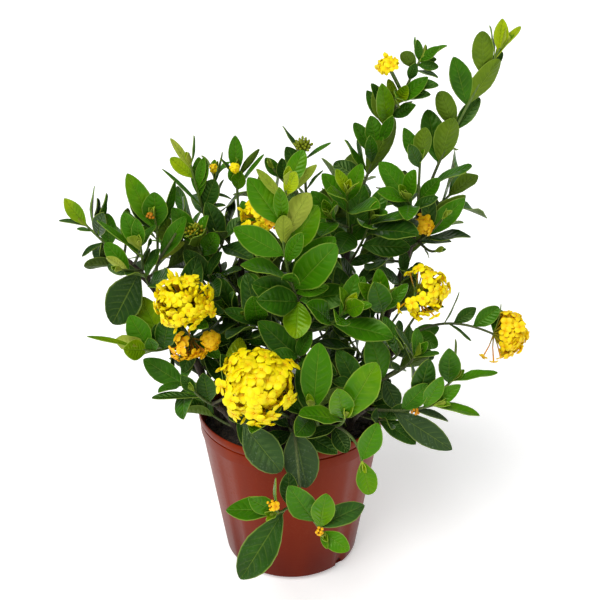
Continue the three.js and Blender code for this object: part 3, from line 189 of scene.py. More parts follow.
# %% Leaves with a place of their own
# For each shoot: place along it, where the tip reaches, the way the upper face looks, width
# over the usual width, youth.
FACES = {
    "front": (0, -1, 0.5),
    "back": (0, 1, 0.3),
    "left": (-1, -0.3, 0.3),
    "right": (1, -0.3, 0.3),
    "up": (0, -0.2, 1),
}
PLACED_LEAVES = {
    "tallest_branch": [
        [0.16, [149, -4, 381], "up", 1, 0.35], [0.33, [131, -2, 420], "back", 1.15, 0.4],
        [0.32, [113, 19, 422], "front", 1, 0.3], [0.43, [140, 22, 387], "up", 1, 0.6],
        [0.55, [119, -1, 441], "back", 1, 0.35], [0.54, [153, 8, 434], "front", 0.85, 0.15],
        [0.69, [129, 4, 467], "front", 1, 0.25], [0.70, [163, -7, 467], "back", 0.9, 0.5],
        [0.85, [148, -6, 488], "back", 1.05, 0.4], [0.86, [168, 8, 470], "front", 0.8, 0.15],
        [0.94, [178, -3, 491], "left", 0.9, 0.95], [0.95, [155, 2, 491], "right", 0.6, 0.5],
        [0.98, [163, -5, 497], "front", 1.05, 1.0],
    ],
    "tall_branch": [
        [0.26, [84, -2, 420], "back", 0.75, 0.35], [0.24, [45, 10, 399], "right", 0.7, 0.4],
        [0.28, [56, 17, 399], "left", 0.6, 0.3], [0.23, [37, 25, 375], "front", 1.2, 0.15],
        [0.41, [52, 6, 414], "front", 0.8, 0.35], [0.45, [65, 0, 421], "front", 1.1, 0.4],
        [0.59, [68, -2, 444], "back", 0.9, 0.45], [0.61, [62, 12, 439], "front", 0.9, 0.2],
        [0.73, [78, 1, 450], "front", 0.8, 0.85], [0.74, [90, -3, 449], "front", 1.1, 0.9],
        [0.79, [115, 6, 443], "up", 0.7, 0.3], [0.77, [109, 15, 433], "up", 0.8, 0.2],
        [0.95, [87, -11, 473], "back", 1.2, 0.3], [0.94, [117, -3, 452], "up", 0.9, 0.35],
        [0.99, [115, -2, 466], "front", 1, 0.3], [0.99, [122, -1, 477], "up", 0.75, 0.5],
        [0.99, [97, -2, 483], "left", 0.7, 0.4], [0.88, [98, -7, 464], "front", 1.15, 0.25],
        [0.77, [83, -26, 456], "front", 0.9, 0.45], [0.75, [61, 4, 449], "right", 0.45, 0.2],
        [0.69, [99, 8, 431], "up", 0.7, 0.1],
    ],
    "right_upright": [
        [0.99, [107, -17, 416], "back", 1.05, 0.45], [0.95, [91, -10, 414], "front", 0.85, 0.35],
        [0.91, [86, -16, 402], "front", 0.9, 0.25],
    ],
    "centre": [
        [0.98, [11, -70, 412], "front", 1.05, 0.7], [0.94, [2, -84, 403], "front", 1.1, 1.0],
        [0.93, [22, -76, 401], "back", 0.6, 0.85], [0.89, [-24, -74, 399], "back", 0.55, 0.85],
        [0.71, [-30, -76, 391], "front", 1.05, 0.65], [0.61, [12, -83, 382], "back", 0.9, 0.95],
        [0.47, [22, -67, 368], "front", 1.0, 0.7], [0.47, [-43, -65, 349], "front", 1.05, 0.5],
        [0.27, [-39, -59, 316], "up", 1.15, 0.35], [0.10, [-30, -63, 301], "front", 1.3, 0.3],
        [0.25, [36, -58, 339], "front", 1.1, 0.45], [0.20, [22, -67, 330], "back", 0.7, 0.7],
        [0.07, [5, -72, 257], "front", 1.6, 0.75], [0.07, [50, -55, 290], "front", 1.1, 0.4],
        [0.14, [31, -68, 301], "front", 0.7, 0.5],
    ],
    "rim": [
        [0.95, [-7, -110, 155], "front", 1.3, 0.05],
    ],
    "hanging": [
        [0.13, [14, -106, 136], "front", 1.3, 0.0],
    ],
    "hanging_left": [
        [0.82, [-52, -124, 127], "up", 1.2, 0.45], [0.98, [-11, -131, 164], "left", 0.7, 0.6],
        [0.99, [-32, -139, 150], "front", 1.1, 0.55], [0.73, [-41, -136, 66], "front", 0.9, 0.1],
        [0.52, [-1, -114, 157], "front", 1.2, 0.1],
    ],
    "hanging_right": [
        [0.55, [-1, -129, 155], "front", 1.15, 0.4], [0.80, [29, -137, 153], "front", 1.15, 0.6],
        [0.75, [61, -121, 130], "up", 1.3, 0.15], [0.99, [50, -142, 106], "front", 1.35, 0.65],
        [0.95, [30, -148, 108], "front", 0.8, 0.6],
    ],
    "front_right": [
        [0.99, [67, -112, 257], "front", 1.05, 0.65], [0.83, [4, -116, 218], "up", 1.1, 0.6],
        [0.94, [37, -121, 239], "front", 1.2, 0.6], [0.10, [47, -103, 169], "front", 1.4, 0.0],
        [0.27, [8, -96, 192], "up", 1.0, 0.1],
    ],
    "front_middle": [
        [0.9, [26, -92, 263], "front", 1.0, 0.45], [0.8, [16, -117, 244], "front", 1.0, 0.65],
    ],
    "front_edge": [
        [0.99, [70, -111, 202], "front", 1.1, 0.6], [0.99, [66, -115, 136], "front", 1.3, 0.65],
    ],
    "far_left": [
        [0.99, [-185, -13, 356], "front", 1.0, 0.85], [0.99, [-193, -8, 335], "up", 0.6, 0.15],
        [0.79, [-177, -14, 330], "up", 1.1, 0.45], [0.70, [-158, -12, 356], "right", 0.8, 0.1],
        [0.75, [-151, -7, 363], "left", 0.5, 0.35], [0.40, [-175, -16, 306], "up", 0.9, 0.0],
        [0.22, [-157, -7, 342], "front", 1.2, 0.3],
    ],
    "left_rosette": [
        [0.90, [-133, -35, 351], "front", 1.0, 0.45], [0.97, [-122, -40, 348], "front", 1.0, 0.4],
        [0.90, [-125, -46, 339], "back", 1.1, 0.8], [0.74, [-154, -38, 346], "up", 0.35, 0.5],
        [0.56, [-113, -34, 329], "right", 0.8, 0.1],
    ],
    "left_front": [
        [0.56, [-149, -39, 327], "front", 1.1, 0.5], [0.65, [-146, -52, 320], "back", 0.8, 0.95],
        [0.23, [-152, -25, 301], "front", 1.1, 0.05],
        [0.10, [-151, -31, 250], "front", 1.35, 0.0],
    ],
    "left_top": [
        [0.79, [-111, -12, 361], "front", 1.5, 0.4], [0.74, [-134, -2, 374], "front", 0.8, 0.65],
        [0.69, [-134, 3, 356], "front", 0.8, 0.05], [0.84, [-113, 12, 366], "front", 0.9, 0.05],
        [0.72, [-100, -2, 371], "right", 0.55, 0.3], [0.60, [-121, -13, 336], "up", 1.0, 0.35],
    ],
    "left_inner": [
        [0.11, [-86, -15, 341], "front", 0.75, 0.3], [0.06, [-93, -18, 322], "back", 0.6, 0.75],
    ],
    "left_low": [
        [0.82, [-146, -51, 245], "back", 1.5, 0.9], [0.74, [-135, -45, 263], "front", 1.3, 0.4],
        [0.95, [-167, -51, 254], "up", 0.3, 0.75], [0.63, [-123, -50, 247], "front", 1.5, 0.35],
        [0.41, [-113, -40, 254], "front", 1.4, 0.15], [0.39, [-128, -30, 273], "front", 1.0, 0.9],
        [0.31, [-102, -35, 206], "right", 0.7, 0.0],
    ],
    "low_left": [
        [0.68, [-116, -67, 199], "up", 0.5, 0.2], [0.88, [-89, -72, 223], "front", 1.2, 0.15],
        [0.41, [-90, -68, 209], "front", 1.1, 0.35], [0.30, [-77, -69, 219], "front", 1.3, 0.1],
    ],
    "back_left_tall": [
        [0.90, [-99, 15, 399], "back", 0.5, 0.95], [0.97, [-79, 12, 402], "right", 0.4, 0.6],
        [0.74, [-100, 11, 382], "front", 1.0, 0.9], [0.38, [-82, 13, 381], "front", 0.85, 0.6],
        [0.54, [-69, 22, 383], "front", 0.65, 0.55], [0.24, [-108, 18, 372], "up", 0.3, 0.4],
        [0.18, [-65, 17, 362], "front", 1.3, 0.1], [0.18, [-58, 13, 352], "up", 0.9, 0.15],
    ],
    "back_left_side": [
        [0.68, [-58, 35, 382], "right", 0.4, 0.3], [0.56, [-51, 28, 342], "up", 0.5, 0.3],
    ],
    "back_left_inner": [
        [0.92, [-46, 24, 399], "front", 0.85, 0.45], [0.85, [-59, 22, 380], "up", 0.5, 0.3],
        [0.85, [-26, 26, 387], "back", 0.45, 0.3], [0.62, [-22, 20, 384], "up", 0.5, 0.4],
        [0.73, [-51, 17, 374], "front", 1.3, 0.55], [0.62, [-35, 17, 375], "front", 1.3, 0.6],
    ],
    "centre_back": [
        [0.82, [-6, 20, 408], "right", 0.45, 0.3], [0.88, [34, 16, 395], "up", 0.6, 0.4],
        [0.54, [-3, 17, 390], "front", 1.1, 0.1], [0.30, [28, 27, 368], "left", 0.5, 0.2],
    ],
    "centre_back_left": [
        [0.69, [-21, 23, 380], "front", 1.1, 0.2], [0.57, [-7, 22, 380], "front", 1.2, 0.1],
    ],
    "arm_low_right": [
        [0.35, [135, -89, 162], "front", 0.8, 0.0], [0.49, [111, -87, 224], "front", 1.1, 0.4],
        [0.65, [132, -78, 183], "up", 0.6, 0.05], [0.83, [114, -91, 238], "front", 0.9, 0.6],
        [0.90, [138, -87, 223], "front", 0.9, 0.65], [0.98, [155, -90, 196], "up", 0.7, 0.6],
    ],
    "arm_low_side": [
        [0.23, [103, -73, 247], "right", 0.9, 0.05], [0.90, [128, -77, 251], "front", 1.2, 0.25],
        [0.96, [133, -72, 254], "right", 0.5, 0.1], [0.98, [170, -74, 227], "up", 0.6, 0.5],
    ],
    "low_right_fore": [
        [0.20, [92, -57, 182], "front", 1.3, 0.0], [0.84, [86, -61, 264], "left", 0.6, 0.1],
    ],
    "mid_right": [
        [0.76, [71, -55, 311], "front", 0.8, 0.5], [0.81, [86, -49, 304], "front", 0.8, 0.6],
        [0.91, [55, -58, 310], "front", 0.8, 0.7],
    ],
    "right_side": [
        [0.35, [146, -1, 355], "back", 0.9, 0.35], [0.53, [114, 0, 359], "front", 0.8, 0.1],
        [0.19, [133, 2, 327], "up", 0.45, 0.4], [0.16, [139, 9, 310], "up", 0.8, 0.2],
        [0.2, [86, -8, 315], "front", 0.8, 0.15],
    ],
    "right_low_side": [
        [0.28, [118, -10, 302], "right", 1.0, 0.0],
    ],
    "arm_right": [
        [0.57, [142, -29, 279], "right", 0.45, 0.1], [0.65, [157, -30, 265], "front", 1.1, 0.15],
        [0.61, [154, -37, 237], "right", 0.5, 0.15], [0.81, [175, -35, 268], "front", 1.2, 0.3],
        [0.97, [176, -32, 270], "right", 0.5, 0.2], [0.97, [188, -39, 224], "right", 0.6, 0.2],
    ],
}
print("placed leaves", sum(len(rows) for rows in PLACED_LEAVES.values()))

# %% Flower heads
# name, stem, place on it, middle of the dome, way it faces, radius, spread in degrees, then
# the count of florets, the floret radius, the count of pointed buds, and how orange it is.
HEADS = [
    ["bloom_front", "bloom_front_stem", 1, [-23, -108, 234], [-0.15, -0.75, 0.65],
     29, 110, 104, 7.4, 6, 0.0],
    ["bloom_left", "bloom_left_stem", 1, [-84, -72, 290], [-0.1, -0.7, 0.7],
     22.5, 112, 62, 6.2, 36, 0.0],
    ["bloom_small", "bloom_small_stem", 1, [-82, -60, 246], [0.1, -0.85, -0.3],
     14, 92, 22, 6.0, 2, 0.75],
    ["bloom_back", "bloom_back_stem", 1, [-26, -22, 343], [-0.3, -0.7, 0.65],
     14, 96, 20, 5.8, 8, 0.05],
    ["bloom_right", "bloom_right_stem", 1, [106, -58, 291], [0.25, -0.8, 0.5],
     21.5, 108, 54, 5.8, 5, 0.05],
    ["bloom_far_right", "arm_right", 1, [181, -38, 245], [0.97, -0.15, 0.1],
     19.5, 92, 58, 5.4, 5, 0.35],
    ["bloom_top", "tall_branch", 0.8, [77, -8, 461], [-0.55, -0.3, 0.78],
     8, 84, 17, 4.4, 6, 0.15],
]
print("flower heads", len(HEADS))

# %% [markdown]
# ## The growing rule
# Every leaf place comes from a few curves and a seeded stream of numbers, so it is the same
# on each run. A shoot is a three-point curve. The leaves that give the bush its outline
# have a place of their own. The others come by rule: pairs sit on the shoot from the tip
# down, each pair a quarter turn from the next. A leaf that would have touched something was
# bent to one of a short list of other places. Which one it was is read back from the CAD
# solid: the right one is the one whose tip is a corner of the solid.

# %% Curves and the stream of numbers
UP = Vector((0, 0, 1))
SHADE_AXIS = Vector((0, 60, 0))  # blades turn away from this upright line
PAIR_REFERENCE = Vector((0, 0.35, 1)).normalized()


def drawer(seed):
    """The same numbers from the same seed, each between 0 and 1."""
    state = [(seed * 7919 + 104729) % 2147483647]

    def draw():
        state[0] = state[0] * 48271 % 2147483647
        return state[0] / 2147483647

    return draw


def curve_point(curve, t):
    a, b, c = (Vector(p) for p in curve)
    return a * (1 - t) ** 2 + b * 2 * t * (1 - t) + c * t * t


def curve_tangent(curve, t):
    a, b, c = (Vector(p) for p in curve)
    return ((b - a) * (1 - t) + (c - b) * t).normalized()


def curve_length(curve):
    points = [curve_point(curve, i / 16) for i in range(17)]
    return sum((q - p).length for p, q in zip(points, points[1:]))


for first, *others in WOOD.values():
    for limb in others:
        limb[0] = list(curve_point(first, limb[0]))
print("longest stem", round(max(curve_length(limbs[0]) for limbs in WOOD.values())), "mm")


def sunward(tip):
    """The level way from the middle of the bush to a tip, which is where its light comes from."""
    out = Vector(tip) - SHADE_AXIS
    return Vector((out.x, out.y, 0)).normalized()


# %% Where each shoot runs
TOP_PAIR_RISE = 0.35  # how far the top pair stands past the twig, over leaf or twig length
COLUMNS = ("name", "parent", "limb", "place", "bend", "tip", "roll", "pairs", "leaf", "youth")
shoots = {}
for row in SHOOTS:
    shoot = dict(zip(COLUMNS, row), open=row[10] if len(row) > 10 else 0)
    parent = shoots.get(shoot["parent"])
    carrier = parent["curve"] if parent else WOOD[shoot["parent"]][shoot["limb"]]
    foot = curve_point(carrier, shoot["place"])
    shoot["curve"] = [list(foot), shoot["bend"], shoot["tip"]]
    shoot["blooms"] = any(head[1] == shoot["name"] and head[2] == 1 for head in HEADS)
    if not shoot["blooms"]:
        above = TOP_PAIR_RISE * min(shoot["leaf"], curve_length(shoot["curve"]))
        end = Vector(shoot["tip"]) - curve_tangent(shoot["curve"], 1) * above
        shoot["curve"][2] = list(end)
    shoot["piece"] = parent["piece"] if parent else shoot["name"]
    shoot["lit"] = sunward(shoot["tip"])
    shoots[shoot["name"]] = shoot
print("shoots grown from other shoots", sum(s["piece"] != n for n, s in shoots.items()))


# %% Where each leaf points
LEAF_SIZE = 1.06
LEAF_WIDTH = 0.44  # blade width over blade length
LEAF_DROOP = 20  # degrees from foot to tip
PLACED_DROOP = 10
INTERNODE = 17
BARE_FOOT = 9
TIP_ROOM, HEAD_ROOM = 1.5, 5  # bare twig above the top pair, without and with a flower head
LEAST_LEAN, LEAN_STEP, MOST_LEAN = 24, 8, 56


def pair_axes(tangent):
    """The two directions across a stem that its leaf pairs are counted from."""
    first = (PAIR_REFERENCE - tangent * PAIR_REFERENCE.dot(tangent)).normalized()
    return first, tangent.cross(first)


def leaf_places(shoot, seed):
    """Where each leaf of the shoot's pairs sits, and how it stands."""
    draw = drawer(seed)
    length = curve_length(shoot["curve"])
    tip_room = HEAD_ROOM if shoot["blooms"] else TIP_ROOM

    def down_to(pairs_below):
        return INTERNODE * (0.45 + 0.1 * pairs_below) * pairs_below

    room = length - BARE_FOOT - tip_room
    crowding = min(1, room / max(1, down_to(shoot["pairs"] - 1)))
    for pair in range(shoot["pairs"]):
        from_tip = shoot["pairs"] - 1 - pair
        for side in (0, 180):
            place = {"from_tip": from_tip}
            place["t"] = 1 - (tip_room + crowding * down_to(from_tip)) / length
            place["turn"] = shoot["roll"] + 90 * pair + side + 24 * (draw() - 0.5)
            lean = min(MOST_LEAN, LEAST_LEAN + LEAN_STEP * from_tip)
            place["lean"] = lean + shoot["open"] + 12 * (draw() - 0.5)
            grown = LEAF_SIZE * shoot["leaf"] * min(1, 0.55 + 0.26 * from_tip)
            place["length"] = grown * (0.9 + 0.2 * draw())
            place["droop"] = LEAF_DROOP * (0.4 + 1.2 * draw())
            place["light"] = 0.35 + 0.4 * draw()
            yield place


def basis(foot, along, face):
    """A frame at the foot: +X runs along the blade and +Z is its upper face."""
    x = along.normalized()
    z = (face - x * face.dot(x)).normalized()
    y = z.cross(x)
    return Matrix.Translation(foot) @ Matrix((x, y, z)).transposed().to_4x4()


def reaching(foot, place, turn, lean, size):
    """A placed leaf, bent evenly on both sides of the straight line from foot to tip."""
    reach = place["reach"] - foot
    aim = reach.normalized()
    side = aim.cross(UP).normalized()
    aim = Quaternion(side, math.radians(lean)) @ (Quaternion(UP, math.radians(turn)) @ aim)
    face = (place["face"] - aim * place["face"].dot(aim)).normalized()
    half = math.radians(place["droop"]) / 2
    leaf = dict(place, length=size * reach.length * half / math.sin(half))
    leaf["frame"] = basis(foot, aim * math.cos(half) + face * math.sin(half), face)
    return leaf


def bent(shoot, place, turn=0, lean=0, size=1):
    """The leaf with its frame, after it is bent clear by that turn and lean."""
    foot = curve_point(shoot["curve"], place["t"])
    if "reach" in place:
        return reaching(foot, place, turn, lean, size)
    tangent = curve_tangent(shoot["curve"], place["t"])
    first, second = pair_axes(tangent)
    angle = math.radians(place["turn"] + turn)
    outward = first * math.cos(angle) + second * math.sin(angle)
    opening = math.radians(max(12, place["lean"] + lean))
    along = tangent * math.cos(opening) + outward * math.sin(opening)
    face = tangent - outward * 0.2 + UP * place["light"] + shoot["lit"] * 0.45
    leaf = dict(place, length=place["length"] * size)
    leaf["frame"] = basis(foot, along, face)
    return leaf


def reaching_place(t, reach, look, wide, **more):
    """A leaf place that is given by where its tip reaches and which way its face looks."""
    face = Vector(FACES[look])
    return dict(more, t=t, wide=wide, droop=PLACED_DROOP, reach=Vector(reach), face=face)


def leaf_tip(leaf):
    droop = math.radians(leaf["droop"])
    reach = leaf["length"] / droop
    local = Vector((reach * math.sin(droop), 0, -reach * (1 - math.cos(droop))))
    return leaf["frame"] @ local


print("leaf places on the inner left shoot", len(list(leaf_places(shoots["inner_left"], 1))))

# %% Which bend each leaf was given
# A bend is a turn and a lean in degrees, and a size.
CORNER_SLACK = 0.05
BENDS = [
    [0, 0, 1], [14, 0, 1], [-14, 0, 1], [0, 14, 1], [0, -14, 1], [26, 8, 0.95], [-26, 8, 0.95],
    [26, -12, 0.95], [-26, -12, 0.95], [0, 26, 0.9], [0, -24, 0.9], [40, 0, 0.85], [-40, 0, 0.85],
    [0, 0, 0.75], [20, 16, 0.75], [-20, 16, 0.75], [20, -16, 0.7], [-20, -16, 0.7],
    [0, 0, 0.55], [30, 0, 0.55], [-30, 0, 0.55], [0, 30, 0.5], [0, -20, 0.5],
]


def corners_of(node):
    """The CAD solid's corners, in millimetres, ready for a nearest-point search."""
    vertices = frame["nodes"][node].data.vertices
    tree = KDTree(len(vertices))
    for vertex in vertices:
        tree.insert(vertex.co / MM, vertex.index)
    tree.balance()
    return tree


corners = {s["piece"]: corners_of("shoot_" + s["piece"]) for s in shoots.values()}
missing = 0
for index, shoot in enumerate(shoots.values()):
    places = []
    for t, reach, look, wide, youth in PLACED_LEAVES.get(shoot["name"], []):
        places.append(reaching_place(t, reach, look, wide, youth=youth))
    places += leaf_places(shoot, index + 1)
    solid = corners[shoot["piece"]]
    shoot["leaves"] = []
    for place in places:
        tries = [bent(shoot, place, *bend) for bend in BENDS]
        found = [leaf for leaf in tries if solid.find(leaf_tip(leaf))[2] < CORNER_SLACK]
        shoot["leaves"] += found[:1]
        missing += not found
print("leaves found", sum(len(s["leaves"]) for s in shoots.values()), "not in the solids", missing)

# %% [markdown]
# ## Mesh helpers
# Each piece is built in a bmesh, in millimetres. Bars are a circle that is extruded ring by
# ring along a path. A leaf starts as a flat grid, which is the natural net of a blade: rows
# run across it and columns run along its midrib. A vertex colour named look carries what
# the finishes need to know about each spot, such as how old a leaf is.

# %% Putting pieces together
TWIG = 1  # number of the stem finish in a piece that has leaves or petals too


def new_object(name, data):
    thing = bpy.data.objects.new(name, data)
    bpy.context.scene.collection.objects.link(thing)
    return thing


def only(kind, items):
    return [item for item in items if isinstance(item, kind)]


def new_part():
    part = bmesh.new()
    part.loops.layers.uv.new("UVMap")
    part.verts.layers.float_color.new("look")
    return part


def paint(part, verts, look):
    layer = part.verts.layers.float_color["look"]
    for vert in verts:
        vert[layer] = look


def add_to(whole, part, finish=0, sharp=0.9):
    """Moves a finished part into the piece it belongs to."""
    for face in part.faces:
        face.material_index = finish
        face.smooth = True
    for edge in part.edges:
        edge.smooth = edge.calc_face_angle(0) < sharp
    mesh = bpy.data.meshes.new("part")
    part.to_mesh(mesh)
    part.free()
    whole.from_mesh(mesh)
    bpy.data.meshes.remove(mesh)


def add_all(whole, parts):
    for part in parts:
        add_to(whole, part)


def make_piece(name, whole, finishes, slot, *nodes):
    """Turns the bmesh into an object in metres that stands for the CAD nodes."""
    bmesh.ops.scale(whole, vec=(MM, MM, MM), verts=whole.verts)
    mesh = bpy.data.meshes.new(name)
    whole.to_mesh(mesh)
    whole.free()
    for finish in finishes:
        mesh.materials.append(finish)
    piece = new_object(name, mesh)
    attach(piece, "root")
    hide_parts(*nodes)
    return piece


# %% Bars for stems, twigs and tubes
def bar(points, radii, sides, look):
    """A round bar through the points, closed at both ends, with one radius or a list."""
    if not isinstance(radii, list):
        radii = [radii] * len(points)
    part = new_part()
    bmesh.ops.create_circle(part, cap_ends=True, segments=sides, radius=1)
    ring = list(part.verts)
    edges = list(part.edges)
    flat = [vert.co.copy() for vert in ring]
    tangent = (points[1] - points[0]).normalized()
    turn = UP.rotation_difference(tangent)
    for i, (point, radius) in enumerate(zip(points, radii)):
        if i:
            ahead = points[min(i + 1, len(points) - 1)] - points[i - 1]
            turn = tangent.rotation_difference(ahead.normalized()) @ turn
            tangent = ahead.normalized()
            made = bmesh.ops.extrude_edge_only(part, edges=edges)["geom"]
            ring = only(bmesh.types.BMVert, made)
            edges = only(bmesh.types.BMEdge, made)
            edges = [edge for edge in edges if all(vert in ring for vert in edge.verts)]
            order = {}
            for vert in ring:
                near = [edge.other_vert(vert) for edge in vert.link_edges]
                order[vert] = next(places[other] for other in near if other in places)
        else:
            order = {vert: i for i, vert in enumerate(ring)}
        for vert, spot in order.items():
            vert.co = point + turn @ (flat[spot] * radius)
        places = order
    bmesh.ops.contextual_create(part, geom=edges)
    bmesh.ops.recalc_face_normals(part, faces=part.faces)
    paint(part, part.verts, look)
    return part


def along(curve, step):
    """Points about a step apart along a three-point curve."""
    count = max(3, round(curve_length(curve) / step))
    return [curve_point(curve, i / count) for i in range(count + 1)]


trial = bar(along(WOOD["wood_left"][0], 8), 3, 10, (0, 0, 0, 0))
print("a trial stem has", len(trial.faces), "faces, volume", round(trial.calc_volume()), "mm3")
trial.free()

# %% [markdown]
# ## One leaf
# A blade could be an image on a card, but a card has no thickness and looks flat from the
# side. This one is a grid that is drawn in to the outline of the leaf, folded a little at
# the midrib, waved along its edges, arched back, and then given its thickness. The grid's
# own net stays on it, so veins can follow the blade later.

# %% The leaf blade
STATIONS = (-0.02, 0.05, 0.11, 0.2, 0.32, 0.46, 0.6, 0.73, 0.84, 0.92, 0.975, 1)
COARSE_STATIONS = (0.05, 0.33, 0.7, 0.93, 1)
LEAF_THICK = 0.55
STALK_END, STALK_HALF = 0.08, 0.9  # share of the length, and half the width in mm
EDGE_LAG = 1.3  # how far the waves of one edge lag behind those of the other


def outline(t, blunt):
    """Half the width of a blade one unit wide: a wedge at the foot, bluntly pointed ahead."""
    swell = math.sin(math.pi * min(1, t) ** 1.12)
    return 0.5 * swell ** (0.92 if t < 0.54 else blunt)


def blade(leaf, stations=STATIONS, across=4):
    part = new_part()
    rows = len(stations) - 1
    width = LEAF_WIDTH * leaf.get("wide", 1)
    bmesh.ops.create_grid(part, x_segments=rows, y_segments=across, size=1, calc_uvs=True)
    droop = math.radians(leaf["droop"])
    shares, sides = {}, {}
    for vert in part.verts:
        t = stations[round((vert.co.x + 1) / 2 * rows)]
        side = vert.co.y
        half = STALK_HALF
        if t > STALK_END:
            half = leaf["length"] * width * outline(t, leaf["blunt"])
        wave = math.sin(leaf["waves"] * t * math.tau + leaf["phase"] + EDGE_LAG * (side > 0))
        over = half * (leaf["fold"] * abs(side) + leaf["ripple"] * side * side * wave)
        over += half * leaf["twist"] * side * (t - 0.4)
        bend = droop * t
        reach = leaf["length"] / droop
        level = Vector((reach * math.sin(bend), side * half, -reach * (1 - math.cos(bend))))
        vert.co = level + Vector((math.sin(bend), 0, math.cos(bend))) * over
        shares[vert], sides[vert] = t, side
    uv = part.loops.layers.uv["UVMap"]
    for face in part.faces:
        for loop in face.loops:
            loop[uv].uv = (shares[loop.vert], 0.5 + 0.5 * sides[loop.vert])
    bmesh.ops.remove_doubles(part, verts=part.verts, dist=0.02)
    made = bmesh.ops.solidify(part, geom=part.faces[:], thickness=LEAF_THICK)["geom"]
    under = only(bmesh.types.BMVert, made)
    for verts, underside in ((part.verts, 0), (under, 1)):
        paint(part, verts, (leaf["tone"], underside, leaf["chance"], leaf["dust"]))
    bmesh.ops.transform(part, matrix=leaf["frame"], verts=part.verts)
    return part


def with_character(leaf, draw, tone, dust=0.15):
    """Gives a leaf its own fold, waves and colour."""
    leaf["fold"] = 0.1 + 0.32 * draw()
    leaf["ripple"] = 0.06 + 0.16 * draw()
    leaf["waves"] = 0.8 + 1.0 * draw()
    leaf["phase"] = math.tau * draw()
    leaf["twist"] = 0.5 * (draw() - 0.5)
    leaf["blunt"] = 0.54 + 0.24 * draw()
    leaf["chance"] = draw()
    leaf["tone"] = min(1, max(0, tone + 0.14 * (draw() - 0.5)))
    leaf["dust"] = min(1, max(0, dust + 0.2 * (draw() - 0.5)))
    return leaf


sample = with_character(dict(shoots["centre"]["leaves"][0]), drawer(3), 0.5)
trial = blade(sample)
print("one leaf has", len(trial.faces), "faces, volume", round(trial.calc_volume()), "mm3")
trial.free()

# %% [markdown]
# ## Shared finish groups
# Leaves and plastic need speckles of dust, and every leaf needs its veins. Each effect is
# built once as a node group with its own sockets, and each material that needs it uses it
# with its own values. The groups only put out masks. The shader stays in the material.

# %% A short way to write nodes
def feed(tree, node, **inputs):
    """Gives the node its inputs, where i0 means number 0. A socket is linked, a value is set."""
    for name, value in inputs.items():
        key = int(name[1:]) if name[0] == "i" and name[1:].isdigit() else name.replace("_", " ")
        if isinstance(value, bpy.types.NodeSocket):
            tree.links.new(value, node.inputs[key])
        else:
            node.inputs[key].default_value = value


def add_node(tree, kind, settings=None, **inputs):
    node = tree.nodes.new("ShaderNode" + kind)
    for name, value in (settings or {}).items():
        setattr(node, name, value)
    feed(tree, node, **inputs)
    return node


def maths(tree, operation, first, second=0.0):
    return add_node(tree, "Math", {"operation": operation}, i0=first, i1=second).outputs[0]


def times(tree, first, second):
    return maths(tree, "MULTIPLY", first, second)


def plus(tree, first, second):
    return maths(tree, "ADD", first, second)


def minus(tree, first, second):
    return maths(tree, "SUBTRACT", first, second)


def between(tree, value, low, high, start=0.0, end=1.0):
    """Eases from start to end as the value goes from low to high."""
    return add_node(
        tree, "MapRange", {"interpolation_type": "SMOOTHSTEP"}, Value=value,
        From_Min=low, From_Max=high, To_Min=start, To_Max=end,
    ).outputs["Result"]


def mixed(tree, share, first, second, blend="MIX"):
    settings = {"data_type": "RGBA", "blend_type": blend}
    return add_node(tree, "Mix", settings, i0=share, i6=first, i7=second).outputs[2]


def noise_of(tree, spot, detail, scale=1.0, stretch=None):
    """Soft noise at a spot. A stretch gives it a scale of its own along each axis."""
    if stretch:
        spot = add_node(tree, "Mapping", Vector=spot, Scale=stretch).outputs[0]
    return add_node(tree, "TexNoise", Vector=spot, Scale=scale, Detail=detail).outputs[0]


def new_group(name, sockets_in, sockets_out):
    """A node group with those sockets. Returns it with its two end nodes."""
    group = bpy.data.node_groups.new(name, "ShaderNodeTree")
    for way, sockets in (("INPUT", sockets_in), ("OUTPUT", sockets_out)):
        for socket, kind in sockets:
            group.interface.new_socket(socket, in_out=way, socket_type="NodeSocket" + kind)
    return group, group.nodes.new("NodeGroupInput"), group.nodes.new("NodeGroupOutput")


print("node helpers ready")

# %% Speckles of dust
speckles, inside, outside = new_group(
    "speckles", [("Vector", "Vector"), ("Scale", "Float"), ("Amount", "Float")], [("Mask", "Float")]
)
spot, scale, amount = inside.outputs[:3]
grains = between(speckles, noise_of(speckles, spot, 3.0, scale), 0.52, 0.66)
broad = noise_of(speckles, spot, 2.0, times(speckles, scale, 0.12))
patches = between(speckles, broad, 0.38, 0.62, 0.25, 1.0)
mask = times(speckles, times(speckles, grains, patches), amount)
speckles.links.new(mask, outside.inputs[0])
print("group", speckles.name)

# %% Veins and edge line of a leaf
VEIN_COUNT = 8.5
VEIN_SWEEP = 1.55  # how far the side veins run forwards on their way to the edge
veins, inside, outside = new_group(
    "leaf_veins",
    [("Net", "Vector")],
    [("Midrib", "Float"), ("Side veins", "Float"), ("Edge", "Float"), ("Quilt", "Float")],
)
ahead, across, _ = add_node(veins, "SeparateXYZ", Vector=inside.outputs[0]).outputs
off = maths(veins, "ABSOLUTE", times(veins, minus(veins, across, 0.5), 2.0))
midrib = between(veins, off, 0.015, 0.06, 1.0, 0.0)
sweep = times(veins, maths(veins, "POWER", off, 1.25), VEIN_SWEEP)
ridge = maths(veins, "PINGPONG", minus(veins, times(veins, ahead, VEIN_COUNT), sweep), 0.5)
fade = between(veins, off, 0.35, 0.95, 1.0, 0.0)
side_veins = times(veins, between(veins, ridge, 0.03, 0.11, 1.0, 0.0), fade)
edge = between(veins, off, 0.9, 0.985)
quilt = times(veins, between(veins, ridge, 0.0, 0.5), fade)
quilt = times(veins, quilt, between(veins, off, 0.02, 0.2))
for socket, value in zip(outside.inputs, (midrib, side_veins, edge, quilt)):
    veins.links.new(value, socket)
print("group", veins.name)

